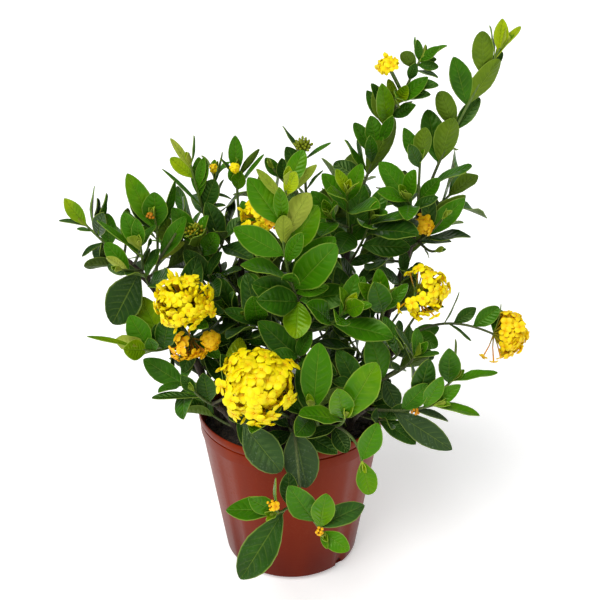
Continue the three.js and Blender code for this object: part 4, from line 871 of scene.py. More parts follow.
# %% [markdown]
# ## The leaf finish
# An old ixora leaf is dark, leathery and glossy, and may be dusty. A young one is bright
# yellow-green. All of them are paler underneath, with a pale midrib, faint side veins and a
# thin light edge. One material does all of this: the look colour tells it the age, the
# underside and the dust of each leaf, and the net of the blade tells it where the veins are.

# %% Leaf material
def new_material(name):
    material = bpy.data.materials.new(name)
    material.use_nodes = True
    tree = material.node_tree
    tree.nodes.clear()
    shader = tree.nodes.new("ShaderNodeBsdfPrincipled")
    end = tree.nodes.new("ShaderNodeOutputMaterial")
    tree.links.new(shader.outputs[0], end.inputs[0])
    return material, tree, shader


def ramp(tree, value, *stops):
    """A colour ramp from (place, (red, green, blue)) stops."""
    node = add_node(tree, "ValToRGB", Fac=value)
    elements = node.color_ramp.elements
    while len(elements) < len(stops):
        elements.new(0.5)
    for element, (spot, colour) in zip(elements, stops):
        element.position = spot
        element.color = (*colour, 1)
    return node.outputs[0]


def read_look(tree):
    """The look colour's four numbers, and the piece's own coordinates."""
    look = add_node(tree, "Attribute", {"attribute_name": "look"})
    split = add_node(tree, "SeparateColor", Color=look.outputs["Color"])
    spot = add_node(tree, "TexCoord").outputs["Object"]
    return split.outputs[0], split.outputs[1], split.outputs[2], look.outputs["Alpha"], spot


def use_group(tree, group, **inputs):
    return add_node(tree, "Group", {"node_tree": group}, **inputs).outputs


def add_bump(tree, shader, strength, distance, height):
    bump = add_node(tree, "Bump", Strength=strength, Distance=distance, Height=height)
    tree.links.new(bump.outputs[0], shader.inputs["Normal"])


leaf_finish, tree, shader = new_material("leaf_leather")
age, under, _, dust, spot = read_look(tree)
net = add_node(tree, "UVMap", {"uv_map": "UVMap"}).outputs[0]
midrib, side_veins, edge, quilt = use_group(tree, veins, Net=net)
cloud = noise_of(tree, spot, 3.0, 55.0)
shade = plus(tree, age, between(tree, cloud, 0.3, 0.7, -0.07, 0.07))
upper = ramp(
    tree, shade,
    (0.0, (0.008, 0.029, 0.004)), (0.2, (0.016, 0.066, 0.003)), (0.4, (0.036, 0.145, 0.002)),
    (0.62, (0.045, 0.168, 0.001)), (0.82, (0.115, 0.24, 0.001)), (1.0, (0.31, 0.41, 0.002)),
)
lower = ramp(
    tree, shade,
    (0.0, (0.042, 0.075, 0.010)), (0.4, (0.080, 0.145, 0.006)), (0.7, (0.16, 0.235, 0.009)),
    (1.0, (0.34, 0.40, 0.05)),
)
colour = mixed(tree, under, upper, lower)
pale = mixed(tree, 0.45, colour, (0.30, 0.45, 0.05, 1))
colour = mixed(tree, times(tree, midrib, 0.42), colour, pale)
colour = mixed(tree, times(tree, side_veins, 0.17), colour, pale)
rim = mixed(tree, 0.7, colour, (0.38, 0.50, 0.07, 1))
colour = mixed(tree, times(tree, edge, 0.5), colour, rim)
film = use_group(tree, speckles, Vector=spot, Scale=620.0, Amount=dust)[0]
veil = times(tree, maths(tree, "POWER", dust, 2.0), 0.2)
veil = maths(tree, "MAXIMUM", times(tree, film, 0.6), veil)
colour = mixed(tree, veil, colour, (0.15, 0.21, 0.125, 1))
rough = plus(tree, times(tree, under, 0.22), times(tree, film, 0.25))
rough = plus(tree, plus(tree, rough, times(tree, dust, 0.12)), 0.27)
feed(tree, shader, Base_Color=colour, Roughness=rough)
feed(tree, shader, Specular_IOR_Level=0.26, Specular_Tint=(0.62, 0.95, 0.3, 1))
height = minus(tree, times(tree, quilt, 0.5), times(tree, midrib, 0.8))
add_bump(tree, shader, 0.8, 0.0007, plus(tree, height, times(tree, cloud, 1.2)))
print("leaf finish nodes", len(tree.nodes))

# %% [markdown]
# ## Bark and green twigs
# Old stems have thin brown bark with fine cracks along the stem. Young twigs are green and
# smooth. One material blends from one to the other, again by the look colour.

# %% Stem material
stem_finish, tree, shader = new_material("bark_and_twig")
green, _, _, _, spot = read_look(tree)
grain = noise_of(tree, spot, 4.0, stretch=(900, 900, 170))
bark = ramp(
    tree, grain,
    (0.3, (0.012, 0.008, 0.006)), (0.5, (0.036, 0.024, 0.015)), (0.72, (0.105, 0.075, 0.050)),
)
skin = ramp(tree, grain, (0.3, (0.05, 0.11, 0.008)), (0.7, (0.12, 0.20, 0.018)))
rough = minus(tree, 0.85, times(tree, green, 0.35))
feed(tree, shader, Base_Color=mixed(tree, green, bark, skin), Roughness=rough)
add_bump(tree, shader, 0.6, 0.0008, grain)
print("stem finish nodes", len(tree.nodes))

# %% [markdown]
# ## Petals
# The lobes are a strong clear yellow, a little deeper towards the throat, and the tubes
# behind them are orange. The first number of the look runs from the foot of the tube to the
# rim of the lobe, and the second says how orange the whole head is.

# %% Petal material
petal_finish, tree, shader = new_material("petal_yellow")
reach, orange, chance, _, spot = read_look(tree)
streak = noise_of(tree, spot, 2.0, 420.0)
level = plus(tree, reach, between(tree, streak, 0.3, 0.7, -0.05, 0.05))
fresh = ramp(
    tree, level,
    (0.0, (0.10, 0.16, 0.008)), (0.2, (0.26, 0.31, 0.010)), (0.24, (0.50, 0.24, 0.004)),
    (0.42, (0.86, 0.46, 0.002)),
    (0.58, (0.86, 0.63, 0.001)), (0.85, (0.89, 0.78, 0.002)),
)
warm = ramp(
    tree, level,
    (0.0, (0.12, 0.10, 0.010)), (0.3, (0.50, 0.15, 0.004)), (0.6, (0.80, 0.34, 0.003)),
    (1.0, (0.92, 0.53, 0.005)),
)
colour = mixed(tree, orange, fresh, warm)
deeper = mixed(tree, 1.0, colour, (0.90, 0.80, 0.6, 1), "MULTIPLY")
colour = mixed(tree, times(tree, chance, 0.5), colour, deeper)
feed(tree, shader, Base_Color=colour, Roughness=0.5, Specular_IOR_Level=0.2)
add_bump(tree, shader, 0.25, 0.0004, streak)
print("petal finish nodes", len(tree.nodes))

# %% [markdown]
# ## Pot plastic
# The pot is thin moulded plastic of a brownish terracotta, with a satin skin, faint flow
# marks, fine scratches and a little dust. Its colour is painted darker near the ground, as
# painted shade. Stretched noise gives the marks and scratches, since it needs no picture and
# no unwrapping.

# %% Pot material
pot_finish, tree, shader = new_material("pot_plastic_terracotta")
spot = add_node(tree, "TexCoord").outputs["Object"]
flow = noise_of(tree, spot, 3.0, stretch=(30, 30, 6))
plastic = ramp(
    tree, flow,
    (0.3, (0.142, 0.010, 0.001)), (0.5, (0.170, 0.013, 0.001)), (0.7, (0.195, 0.018, 0.002)),
)
scratch = noise_of(tree, spot, 2.0, stretch=(260, 260, 1100))
scuffs = between(tree, scratch, 0.62, 0.74)
dusty = use_group(tree, speckles, Vector=spot, Scale=420.0, Amount=0.5)[0]
colour = mixed(tree, times(tree, scuffs, 0.12), plastic, (0.32, 0.075, 0.03, 1))
colour = mixed(tree, times(tree, dusty, 0.1), colour, (0.32, 0.11, 0.055, 1))
# Painted shade: the plastic's colour is darkened towards the bottom of the pot, where less light
# falls.
low = between(tree, add_node(tree, "SeparateXYZ", Vector=spot).outputs[2], 0.0, 0.09, 1.0, 0.0)
painted_low_shade = mixed(tree, 1.0, colour, (0.6, 0.4, 0.35, 1), "MULTIPLY")
rough = plus(tree, times(tree, scuffs, 0.15), between(tree, flow, 0.3, 0.7, 0.30, 0.40))
rough = plus(tree, rough, times(tree, dusty, 0.2))
feed(tree, shader, Base_Color=mixed(tree, low, colour, painted_low_shade), Roughness=rough)
feed(tree, shader, Specular_IOR_Level=0.14, Specular_Tint=(1.0, 0.5, 0.3, 1))
add_bump(tree, shader, 0.25, 0.001, plus(tree, times(tree, scratch, 0.2), flow))
print("pot finish nodes", len(tree.nodes))

# %% [markdown]
# ## Potting mix
# The mix is dark, moist and crumbly. One fine noise sets both its colour and its bumps, so
# that the high crumbs are also the pale, dry ones.

# %% Potting mix material
soil_finish, tree, shader = new_material("potting_mix_dark")
spot = add_node(tree, "TexCoord").outputs["Object"]
crumb = noise_of(tree, spot, 5.0, 380.0)
mix = ramp(
    tree, crumb,
    (0.3, (0.006, 0.004, 0.003)), (0.52, (0.022, 0.014, 0.009)), (0.75, (0.085, 0.055, 0.034)),
)
feed(tree, shader, Base_Color=mix, Roughness=0.92)
add_bump(tree, shader, 0.9, 0.002, crumb)
print("soil finish nodes", len(tree.nodes))

# %% [markdown]
# ## The pot
# A nursery pot is one thin shell, blown or pressed in a mould. Turning its section round
# the axis gives the wall, the step under the rim band and the rolled lip in one go. Four
# shallow flutes are pressed into the wall, and drain holes are cut at the corner of the base.

# %% Section of the pot
POT_WALL = 1.4
WALL_FOOT, WALL_HEAD = (63.5, 5), (82.8, 134)  # radius and height of the plain wall's ends
FLUTE_HALF_ANGLE, FLUTE_DEPTH = 7.0, 2.2
POT_SECTION = [
    (0.0, 2.6), (40, 2.6), (46, 0.0), (57.6, 0.0), (58.5, 0.3), (63.5, 5), (64.3, 10), (82.5, 133),
    (82.7, 134.1), (83.5, 134.4), (83.7, 135.2), (84.2, 145.4), (83.2, 146.0), (83.2, 147.0),
    (84.6, 147.5), (85, 148.2), (85.2, 153.9), (84.8, 154.8), (84.2, 155), (83.7, 154.4),
    (82.9, 147), (82.2, 136), (80.8, 133), (62.6, 7.4), (57.5, 4), (0, 4),
]


def wall_radius(height):
    """Outer radius of the plain wall at a height."""
    (foot_radius, foot), (head_radius, head) = WALL_FOOT, WALL_HEAD
    return foot_radius + (height - foot) * (head_radius - foot_radius) / (head - foot)


def turned(section, steps):
    """Spins a section of (radius, height) points round the upright axis."""
    part = new_part()
    verts = [part.verts.new((radius, 0, height)) for radius, height in section]
    edges = [part.edges.new(pair) for pair in zip(verts, verts[1:])]
    bmesh.ops.spin(
        part, geom=verts + edges, cent=(0, 0, 0), axis=(0, 0, 1), angle=math.tau,
        steps=steps, use_merge=True,
    )
    bmesh.ops.remove_doubles(part, verts=part.verts, dist=0.001)
    bmesh.ops.recalc_face_normals(part, faces=part.faces)
    return part


def pressed(part, depth, half_angle, low, high):
    """Presses the four upright flutes into the wall between two heights."""
    for vert in part.verts:
        degrees = math.degrees(math.atan2(vert.co.y, vert.co.x)) % 90 - 45
        if low < vert.co.z < high and abs(degrees) < half_angle:
            radius = vert.co.xy.length
            dent = depth * (0.5 + 0.5 * math.cos(math.pi * degrees / half_angle)) ** 0.4
            ends = min(1, (vert.co.z - low) / 6, (high - vert.co.z) / 3)
            vert.co.x *= (radius - dent * ends) / radius
            vert.co.y *= (radius - dent * ends) / radius


pot = turned(POT_SECTION, 144)
# One more ring of points low in the wall, where the flutes run out.
everything = pot.verts[:] + pot.edges[:] + pot.faces[:]
bmesh.ops.bisect_plane(pot, geom=everything, plane_co=(0, 0, 15), plane_no=(0, 0, 1))
pressed(pot, FLUTE_DEPTH, FLUTE_HALF_ANGLE, 4.5, 133.6)
print("pot faces", len(pot.faces), "volume", round(pot.calc_volume() / 1000, 1), "cm3")

# %% Cut the drain holes
def cut(piece, cutter):
    """Takes the cutter's shape out of the piece and removes the cutter."""
    modifier = piece.modifiers.new("drain_holes", "BOOLEAN")
    modifier.operation = "DIFFERENCE"
    modifier.solver = "EXACT"
    modifier.object = cutter
    graph = bpy.context.evaluated_depsgraph_get()
    result = bpy.data.meshes.new_from_object(piece.evaluated_get(graph))
    piece.modifiers.clear()
    piece.data = result
    bpy.data.objects.remove(cutter)


HOLE_RADIUS = 5.2
holes = bmesh.new()
for degrees in (0, 45, 135, 180, 225, 315):
    hole = bmesh.ops.create_cone(
        holes, cap_ends=True, segments=20, radius1=HOLE_RADIUS, radius2=HOLE_RADIUS, depth=14
    )["verts"]
    place = Matrix.Rotation(math.radians(90 + degrees), 4, "Z")
    place = place @ Matrix.Translation((0, -wall_radius(5) + 2.5, 3.5))
    place = place @ Matrix.Rotation(math.radians(-35), 4, "X")
    bmesh.ops.transform(holes, matrix=place, verts=hole)
bmesh.ops.scale(holes, vec=(MM, MM, MM), verts=holes.verts)
cutter_mesh = bpy.data.meshes.new("drain_hole_cutter")
holes.to_mesh(cutter_mesh)
holes.free()
cutter = new_object("drain_hole_cutter", cutter_mesh)
whole = new_part()
add_to(whole, pot, sharp=0.5)
pot_piece = make_piece("nursery_pot", whole, [pot_finish], "pot_plastic", "pot")
cut(pot_piece, cutter)
print("pot faces after the cut", len(pot_piece.data.polygons))

# %% [markdown]
# ## The potting mix
# The mix fills the pot to a finger's width under its lip, and is a little higher in the
# middle. Its body is turned like the pot, and its top is roughened with noise. Loose crumbs
# lie on it, because a real mix is never one smooth sheet.

# %% Soil body and crumbs
SOIL_SHOULDER, SOIL_EDGE, SOIL_RISE = 132, 138, 7  # heights at the wall, and the rise inwards
SOIL_RINGS, RISING_RINGS = 22, 14
CRUMBS = 420


def soil_radius(height):
    return wall_radius(height) - POT_WALL - 0.9


def soil_level(ring):
    """Height of the mix so many rings in from the wall."""
    return SOIL_EDGE + SOIL_RISE * math.sin(min(1, ring / RISING_RINGS) * math.pi / 2)


soil_section = [(0, 4.4), (56.5, 4.4), (soil_radius(7.5), 7.5)]
soil_section += [(soil_radius(SOIL_SHOULDER), SOIL_SHOULDER)]
for ring in range(1, SOIL_RINGS):
    radius = soil_radius(SOIL_SHOULDER) * (1 - ring / SOIL_RINGS)
    soil_section += [(radius, soil_level(ring))]
soil_section += [(0, 143.5)]
soil = turned(soil_section, 96)
pressed(soil, 1.3, 7.5, 5, 134)
for vert in soil.verts:
    if vert.co.z > SOIL_EDGE - 2:
        vert.co.z += 2.2 * noise.noise(vert.co * 0.09) + 1.1 * noise.noise(vert.co * 0.4)
whole = new_part()
add_to(whole, soil)
draw = drawer(77)
for _ in range(CRUMBS):
    radius = soil_radius(134) * math.sqrt(draw()) * 0.97
    angle = math.tau * draw()
    size = 0.8 + 2.6 * draw() ** 2.5
    level = soil_level((1 - radius / soil_radius(SOIL_SHOULDER)) * SOIL_RINGS) + 0.3 * size
    crumb = new_part()
    bmesh.ops.create_icosphere(crumb, subdivisions=1, radius=size)
    stretch = Matrix.Diagonal((1 + draw(), 1 + 0.6 * draw(), 0.5 + 0.3 * draw(), 1))
    spin = Matrix.Rotation(math.tau * draw(), 4, "Z")
    spot = Matrix.Translation((radius * math.cos(angle), radius * math.sin(angle), level))
    bmesh.ops.transform(crumb, matrix=spot @ spin @ stretch, verts=crumb.verts)
    add_to(whole, crumb, sharp=0.4)
soil_piece = make_piece("potting_mix", whole, [soil_finish], "potting_mix", "soil")
print("soil faces", len(soil_piece.data.polygons))

# %% [markdown]
# ## Woody stems
# Each stem is a bar along its curve. Bark isn't a smooth pipe, so every ring is a little
# uneven, there is a thickening wherever a leaf pair once stood, and the stem tapers upward.

# %% Stems
WOOD_RADIUS = 3.0
SCAR = 0.28  # how much thicker a stem is at an old leaf scar


def woody(curve, radius, seed):
    """A stem with old leaf scars, uneven bark and a taper."""
    points = along(curve, 4)
    radii = []
    for i in range(len(points)):
        scar = SCAR * math.exp(-(((i % 6) - 3) ** 2))
        radii.append(radius * (1.08 - 0.22 * i / len(points)) + scar)
    part = bar(points, radii, 10, (0, 0, 0.5, 0.3))
    for vert in part.verts:
        shift = noise.noise_vector(vert.co * 0.35 + Vector((seed, 0, 0)))
        vert.co += Vector((shift.x, shift.y, 0)) * 0.35
    return part


for seed, (name, limbs) in enumerate(WOOD.items()):
    whole = new_part()
    for order, limb in enumerate(limbs):
        add_to(whole, woody(limb, WOOD_RADIUS - 0.4 * order, seed))
    make_piece(name.replace("wood", "stem"), whole, [stem_finish], "bark", name)
print("woody stems", len(WOOD))

# %% [markdown]
# ## Keeping leaves apart
# Real leaves push each other aside. Before an extra leaf is added, its blade is tested
# against everything that stands, and it is only kept where it cuts through nothing. A
# bounding volume tree does that test quickly.

# %% The clear test
FOOT_REACH = 7  # neighbours at one joint may touch this close to the foot
standing = []


def box_of(part):
    low = [min(vert.co[i] for vert in part.verts) for i in range(3)]
    high = [max(vert.co[i] for vert in part.verts) for i in range(3)]
    return low, high


def stand(part, owner=""):
    standing.append((*box_of(part), BVHTree.FromBMesh(part), owner))


def far_from(part, foot):
    """A search tree of the faces well away from the foot."""
    part.verts.index_update()
    far = [f.verts for f in part.faces if min((v.co - foot).length for v in f.verts) > FOOT_REACH]
    rings = [[vert.index for vert in verts] for verts in far]
    return BVHTree.FromPolygons([vert.co for vert in part.verts], rings)


def is_clear(part, owner="", foot=None):
    low, high = box_of(part)
    tree = far_from(part, foot) if foot else BVHTree.FromBMesh(part)
    for other_low, other_high, other, other_owner in standing:
        if owner and owner == other_owner:
            continue
        apart = any(low[i] > other_high[i] or other_low[i] > high[i] for i in range(3))
        if not apart and tree.overlap(other):
            return False
    return True


for limbs in WOOD.values():
    for limb in limbs:
        part = bar(along(limb, 12), WOOD_RADIUS, 6, (0, 0, 0, 0))
        stand(part)
        part.free()
for row in HEADS:
    middle, facing, radius = row[3:6]
    ball = new_part()
    bmesh.ops.create_icosphere(ball, subdivisions=2, radius=radius + 2)
    shift = Vector(middle) - Vector(facing).normalized() * radius * 0.25
    bmesh.ops.translate(ball, vec=shift, verts=ball.verts)
    stand(ball)
    ball.free()
rim = turned([(82, 120), (85, 140), (86, 156), (83, 156), (80, 135), (78, 120), (82, 120)], 32)
stand(rim)
rim.free()
print("things that extra leaves stay clear of", len(standing))

# %% [markdown]
# ## Leafy shoots
# A shoot is a twig, its pairs of leaves, and at its tip two pairs of very young leaves round
# a bud. The grown leaves stand exactly where the CAD leaves are. The young ones fill the
# tip, where the solid only has its top pair.

# %% Twigs and leaves of the shoots
TWIG_RADIUS = 1.35
BASE_DUST = 0.12
DUSTY = {
    "hanging": 0.95, "hanging_left": 0.4, "hanging_right": 0.9, "rim": 0.95, "low_right_back": 0.7,
    "low_right_fore": 0.7, "inner_left": 0.5, "inner_middle": 0.5, "arm_low_right": 0.7,
    "left_front": 0.3, "mid_right": 0.3,
}
NO_YOUNG_TIP = ("hanging", "rim", "left_inner")
# Length over the shoot's leaf length, and lean in degrees, of the two young pairs at a tip.
YOUNG_OVER_PAIRS = ((0.4, 17), (0.24, 9))
YOUNG_ALONE = ((0.26, 16), (0.16, 8))


def dust_on(name, age):
    """How dusty a leaf of that shoot is. Young leaves have had less time to gather dust."""
    return DUSTY.get(name, BASE_DUST) * (1 - age) ** 2


def twig(shoot, radius=TWIG_RADIUS):
    points = along(shoot["curve"], 5)
    green = min(1, 0.25 + shoot["youth"])
    radii = [radius * (1.0 - 0.28 * i / len(points)) for i in range(len(points))]
    part = bar(points, radii, 8, (green, 0, 0.5, 0.1))
    foot = points[0]
    length = (points[-1] - foot).length
    for vert in part.verts:
        up = min(1, (vert.co - foot).length / max(1, length))
        paint(part, [vert], (green * min(1, up * 2.2), 0, 0.5, 0.1))
    return part


def young_tip(shoot, draw):
    """The young leaves at the end of a shoot, smallest and brightest at the top."""
    end = curve_point(shoot["curve"], 1)
    tangent = curve_tangent(shoot["curve"], 1)
    pairs = YOUNG_OVER_PAIRS if shoot["pairs"] else YOUNG_ALONE
    for pair, (share, lean) in enumerate(pairs):
        for side in (0, 180):
            place = {"t": 1.0, "light": 0.2}
            roll = shoot["roll"] + 90 * (shoot["pairs"] + pair)
            place["turn"] = roll + side + 20 * (draw() - 0.5)
            place["lean"] = lean + 8 * (draw() - 0.5)
            place["length"] = shoot["leaf"] * share * (0.85 + 0.3 * draw())
            place["droop"] = -12 + 10 * draw()
            leaf = bent(shoot, place)
            leaf["frame"] = Matrix.Translation(tangent * (1.5 * pair)) @ leaf["frame"]
            with_character(leaf, draw, min(1, 0.55 + 0.5 * shoot["youth"] + 0.08 * pair), 0.0)
            leaf["fold"] += 0.25
            yield blade(leaf)
    bud = new_part()
    bmesh.ops.create_uvsphere(bud, u_segments=6, v_segments=5, radius=1)
    shape = Matrix.Diagonal((1.1, 1.1, 3.2, 1))
    turn = UP.rotation_difference(tangent).to_matrix().to_4x4()
    shift = Matrix.Translation(end + tangent * 2.4)
    bmesh.ops.transform(bud, matrix=shift @ turn @ shape, verts=bud.verts)
    paint(bud, bud.verts, (0.9, 0, 0.5, 0))
    yield bud


families = {}
for index, (name, shoot) in enumerate(shoots.items()):
    draw = drawer(900 + index)
    if shoot["piece"] not in families:
        families[shoot["piece"]] = new_part()
    whole = families[shoot["piece"]]
    part = twig(shoot)
    stand(part, name)
    add_to(whole, part, TWIG)
    for leaf in shoot["leaves"]:
        if "youth" in leaf:
            age = leaf["youth"]
        else:
            age = 0.12 + 0.62 * shoot["youth"] - 0.18 * (leaf["from_tip"] - 1)
        with_character(leaf, draw, age, dust_on(name, age))
        part = blade(leaf)
        stand(part)
        add_to(whole, part)
    if not shoot["blooms"] and name not in NO_YOUNG_TIP:
        add_all(whole, young_tip(shoot, draw))
print("shoot pieces", len(families), "leaves and twigs standing", len(standing))

# %% [markdown]
# Some more leaves fill gaps between the others. They are written down in the same way as
# the placed ones: shoot, place along it, where the tip reaches, the way the upper face
# looks, width and youth. Each is turned a little, then moved a little forwards or back,
# until it stands free. Its foot may touch its neighbours, as leaf stalks at one joint do.

# %% A few more leaves
MORE_LEAVES = [
    ["arm_right", 0.3, [124, -46, 236], "front", 1.5, 0.3],
    ["arm_right", 0.21, [129, -34, 245], "front", 1.0, 0.2],
    ["low_right_fore", 0.97, [85, -67, 265], "right", 0.5, 0.1],
    ["low_right_fore", 0.2, [66, -53, 251], "front", 1.1, 0.45],
    ["low_right_fore", 0.54, [84, -60, 228], "front", 1.0, 0.1],
    ["mid_right", 0.8, [70, -60, 310], "front", 1.0, 0.35],
    ["bud_left", 0.58, [-61, -9, 324], "front", 1.3, 0.45],
    ["bud_left", 0.16, [-42, 5, 286], "up", 1.0, 0.45],
    ["bud_left", 0.05, [-79, -6, 296], "front", 1.2, 0.35],
    ["bud_left", 0.05, [-62, -4, 294], "front", 1.2, 0.3],
    ["centre", 0.56, [0, -80, 365], "back", 0.9, 0.9],
    ["centre", 0.17, [36, -82, 342], "front", 0.9, 0.5],
    ["centre", 0.07, [47, -86, 288], "front", 1.0, 0.45],
    ["centre", 0.42, [10, -84, 352], "front", 0.7, 0.5],
    ["centre", 0.74, [-7, -88, 389], "front", 0.7, 0.7],
    ["centre", 0.24, [3, -86, 320], "front", 0.9, 0.4],
    ["centre", 0.06, [-22, -70, 302], "front", 1.2, 0.3],
    ["mid_front", 0.99, [60, -76, 313], "front", 1.0, 0.5],
    ["mid_front", 0.99, [69, -78, 291], "front", 1.1, 0.65],
    ["right_inner", 0.88, [103, -42, 345], "up", 0.9, 0.35],
    ["right_inner", 0.49, [100, -22, 316], "front", 1.0, 0.25],
    ["young", 0.06, [69, -4, 339], "front", 1.1, 0.35],
    ["young", 0.06, [32, 2, 325], "front", 1.0, 0.35],
    ["hanging_right", 0.99, [33, -142, 104], "front", 1.0, 0.8],
    ["right_upright", 0.5, [88, -14, 372], "front", 1.1, 0.35],
    ["right_upright", 0.35, [124, -6, 372], "front", 1.0, 0.3],
    ["arm_right", 0.97, [177, -44, 270], "front", 1.4, 0.3],
    ["far_left", 0.72, [-151, -18, 361], "right", 0.6, 0.35],
    ["far_left", 0.6, [-146, -16, 345], "front", 0.9, 0.1],
    ["back_left_tall", 0.5, [-71, 16, 381], "front", 0.9, 0.5],
    ["bloom_front_stem", 0.98, [0, -116, 221], "front", 0.8, 0.85],
    ["left_low", 0.82, [-144, -58, 242], "front", 1.6, 0.85],
    ["left_low", 0.45, [-105, -54, 264], "front", 1.2, 0.2],
    ["tall_branch", 0.99, [98, -10, 482], "front", 0.8, 0.35],
    ["tall_branch", 0.99, [122, -10, 476], "front", 0.75, 0.45],
    ["tall_branch", 0.66, [96, -12, 439], "front", 0.8, 0.15],
    ["right_side", 0.35, [145, -6, 354], "front", 0.8, 0.35],
    ["arm_low_side", 0.23, [104, -78, 248], "front", 0.9, 0.15],
    ["tall_branch", 0.97, [116, -8, 461], "front", 1.1, 0.3],
    ["tall_branch", 0.86, [117, -8, 447], "front", 0.75, 0.25],
    ["tall_branch", 0.8, [111, -9, 440], "front", 0.75, 0.2],
    ["tall_branch", 0.5, [86, -10, 424], "front", 0.65, 0.35],
    ["tall_branch", 0.36, [64, -12, 408], "front", 0.7, 0.3],
    ["tall_branch", 0.6, [86, -24, 449], "front", 0.75, 0.75],
    ["tall_branch", 0.72, [82, -22, 447], "front", 0.6, 0.5],
    ["tall_branch", 0.66, [72, -22, 447], "front", 0.6, 0.3],
    ["tall_branch", 0.7, [86, -16, 456], "front", 0.6, 0.3],
    ["inner_low", 0.95, [-44, -62, 254], "front", 1.0, 0.9],
    ["front_middle", 0.45, [5, -84, 240], "front", 0.8, 0.1],
    ["front_middle", 0.3, [8, -76, 229], "front", 0.8, 0.1],
    ["tall_branch", 0.75, [104, -20, 456], "front", 0.8, 0.4],
    ["bloom_left_stem", 0.5, [-95, -38, 294], "front", 1.2, 0.2],
    ["bloom_left_stem", 0.35, [-102, -38, 272], "front", 1.3, 0.2],
    ["bloom_left_stem", 0.8, [-78, -38, 300], "front", 1.2, 0.2],
    ["bloom_small_stem", 0.3, [-99, -40, 230], "front", 1.2, 0.1],
    ["bloom_small_stem", 0.5, [-80, -42, 226], "front", 1.3, 0.1],
    ["bloom_small_stem", 0.7, [-96, -58, 219], "front", 1.0, 0.1],
    ["inner_left", 0.9, [-28, -58, 300], "front", 0.8, 0.5],
    ["bloom_right_stem", 0.6, [98, -60, 246], "front", 1.0, 0.1],
]
STEPS = (0, -5, 5, -10, 10, -15, 15, -20, 20)
STEP_WAY = Vector((0, 0.91, -0.41))
TRIALS = [(step, bend) for step in STEPS for bend in BENDS[:7]]
added = 0
for index, (name, t, reach, look, wide, youth) in enumerate(MORE_LEAVES):
    shoot = shoots[name]
    place = reaching_place(t, reach, look, wide)
    foot = curve_point(shoot["curve"], t)
    for step, bend in TRIALS:
        place["reach"] = Vector(reach) + STEP_WAY * step
        leaf = bent(shoot, place, *bend)
        with_character(leaf, drawer(700 + index), youth, dust_on(name, youth))
        trial = blade(leaf)
        if is_clear(trial, name, foot):
            stand(trial)
            add_to(families[shoot["piece"]], trial)
            added += 1
            break
        trial.free()
    else:
        print("no room for", name, t, reach)
print("more leaves", added, "of", len(MORE_LEAVES))

# %% [markdown]
# ## Inner twigs
# Lower on the stems there are older, shaded twigs that fill the bush. The solids leave them
# out to stay light. Here they sprout from the woody stems by the same rule, and a leaf that
# finds no free place is left off, as it would be shed on the real plant.

# %% Fill the inside of the bush
LOWEST_TWIG = 158
TWIG_STEP = 13
TWIG_TURN = math.radians(137.5)


def inner_twig(foot, outward, rise, reach, leaf, youth, roll):
    tip = foot + outward * reach + UP * rise
    bend = foot + outward * reach * 0.7 + UP * rise * 0.3
    return {
        "curve": [list(foot), list(bend), list(tip)], "roll": roll, "pairs": 2, "leaf": leaf,
        "youth": youth, "open": 8, "blooms": False, "lit": sunward(tip),
    }


def clear_leaf(shoot, place, seed, owner):
    """A leaf bent until it stands free, or nothing. The trial blade is a coarse one."""
    for bend in BENDS[:18]:
        leaf = with_character(bent(shoot, place, *bend), drawer(seed), shoot["youth"], 0.3)
        trial = blade(leaf, COARSE_STATIONS, 2)
        free = is_clear(trial, owner)
        if free:
            stand(trial)
        trial.free()
        if free:
            return leaf


def fill_stem(name, limbs, seed):
    whole = new_part()
    draw = drawer(seed)
    count = 0
    for limb in limbs:
        length = curve_length(limb)
        turn = math.tau * draw()
        for i in range(int(length / TWIG_STEP)):
            turn += TWIG_TURN
            foot = curve_point(limb, (i + 0.5 + 0.4 * draw()) * TWIG_STEP / length)
            reach, rise = 14 + 20 * draw(), 6 + 18 * draw()
            size, youth = 40 + 16 * draw(), 0.05 + 0.3 * draw()
            if foot.z < LOWEST_TWIG:
                continue
            outward = Vector((math.cos(turn), math.sin(turn), 0))
            shoot = inner_twig(foot, outward, rise, reach, size, youth, 90 * draw())
            part = twig(shoot, 1.3)
            owner = name + str(i)
            stand(part, owner)
            add_to(whole, part, TWIG)
            for place in leaf_places(shoot, seed * 50 + i):
                leaf = clear_leaf(shoot, place, seed * 90 + i, owner)
                if leaf:
                    add_to(whole, blade(leaf))
                    count += 1
    return whole, count


inner_leaves = 0
inner_parts = {}
for seed, (name, limbs) in enumerate(WOOD.items()):
    inner_parts[name], count = fill_stem(name, limbs, 300 + seed)
    inner_leaves += count
print("inner leaves", inner_leaves)

# %% [markdown]
# All twigs and leaves of one shoot are joined into one piece, so that each piece replaces
# one solid. The inner twigs are pieces of their own, one for each stem.

# %% Make the shoot pieces
leafy = [leaf_finish, stem_finish]
for name, whole in families.items():
    make_piece("shoot_of_" + name, whole, leafy, "leaf", "shoot_" + name)
for name, whole in inner_parts.items():
    make_piece(name.replace("wood", "inner_twigs"), whole, leafy, "leaf")
print("leafy pieces", len(families) + len(inner_parts))

# %% [markdown]
# ## Flower heads
# A floret has four round lobes set like a cross on a long thin tube. A head is a dome of
# them, and their tubes all run back to the top of the stalk. Each lobe is a sphere pressed
# flat, since that gives a soft closed petal with a round rim for very few faces.

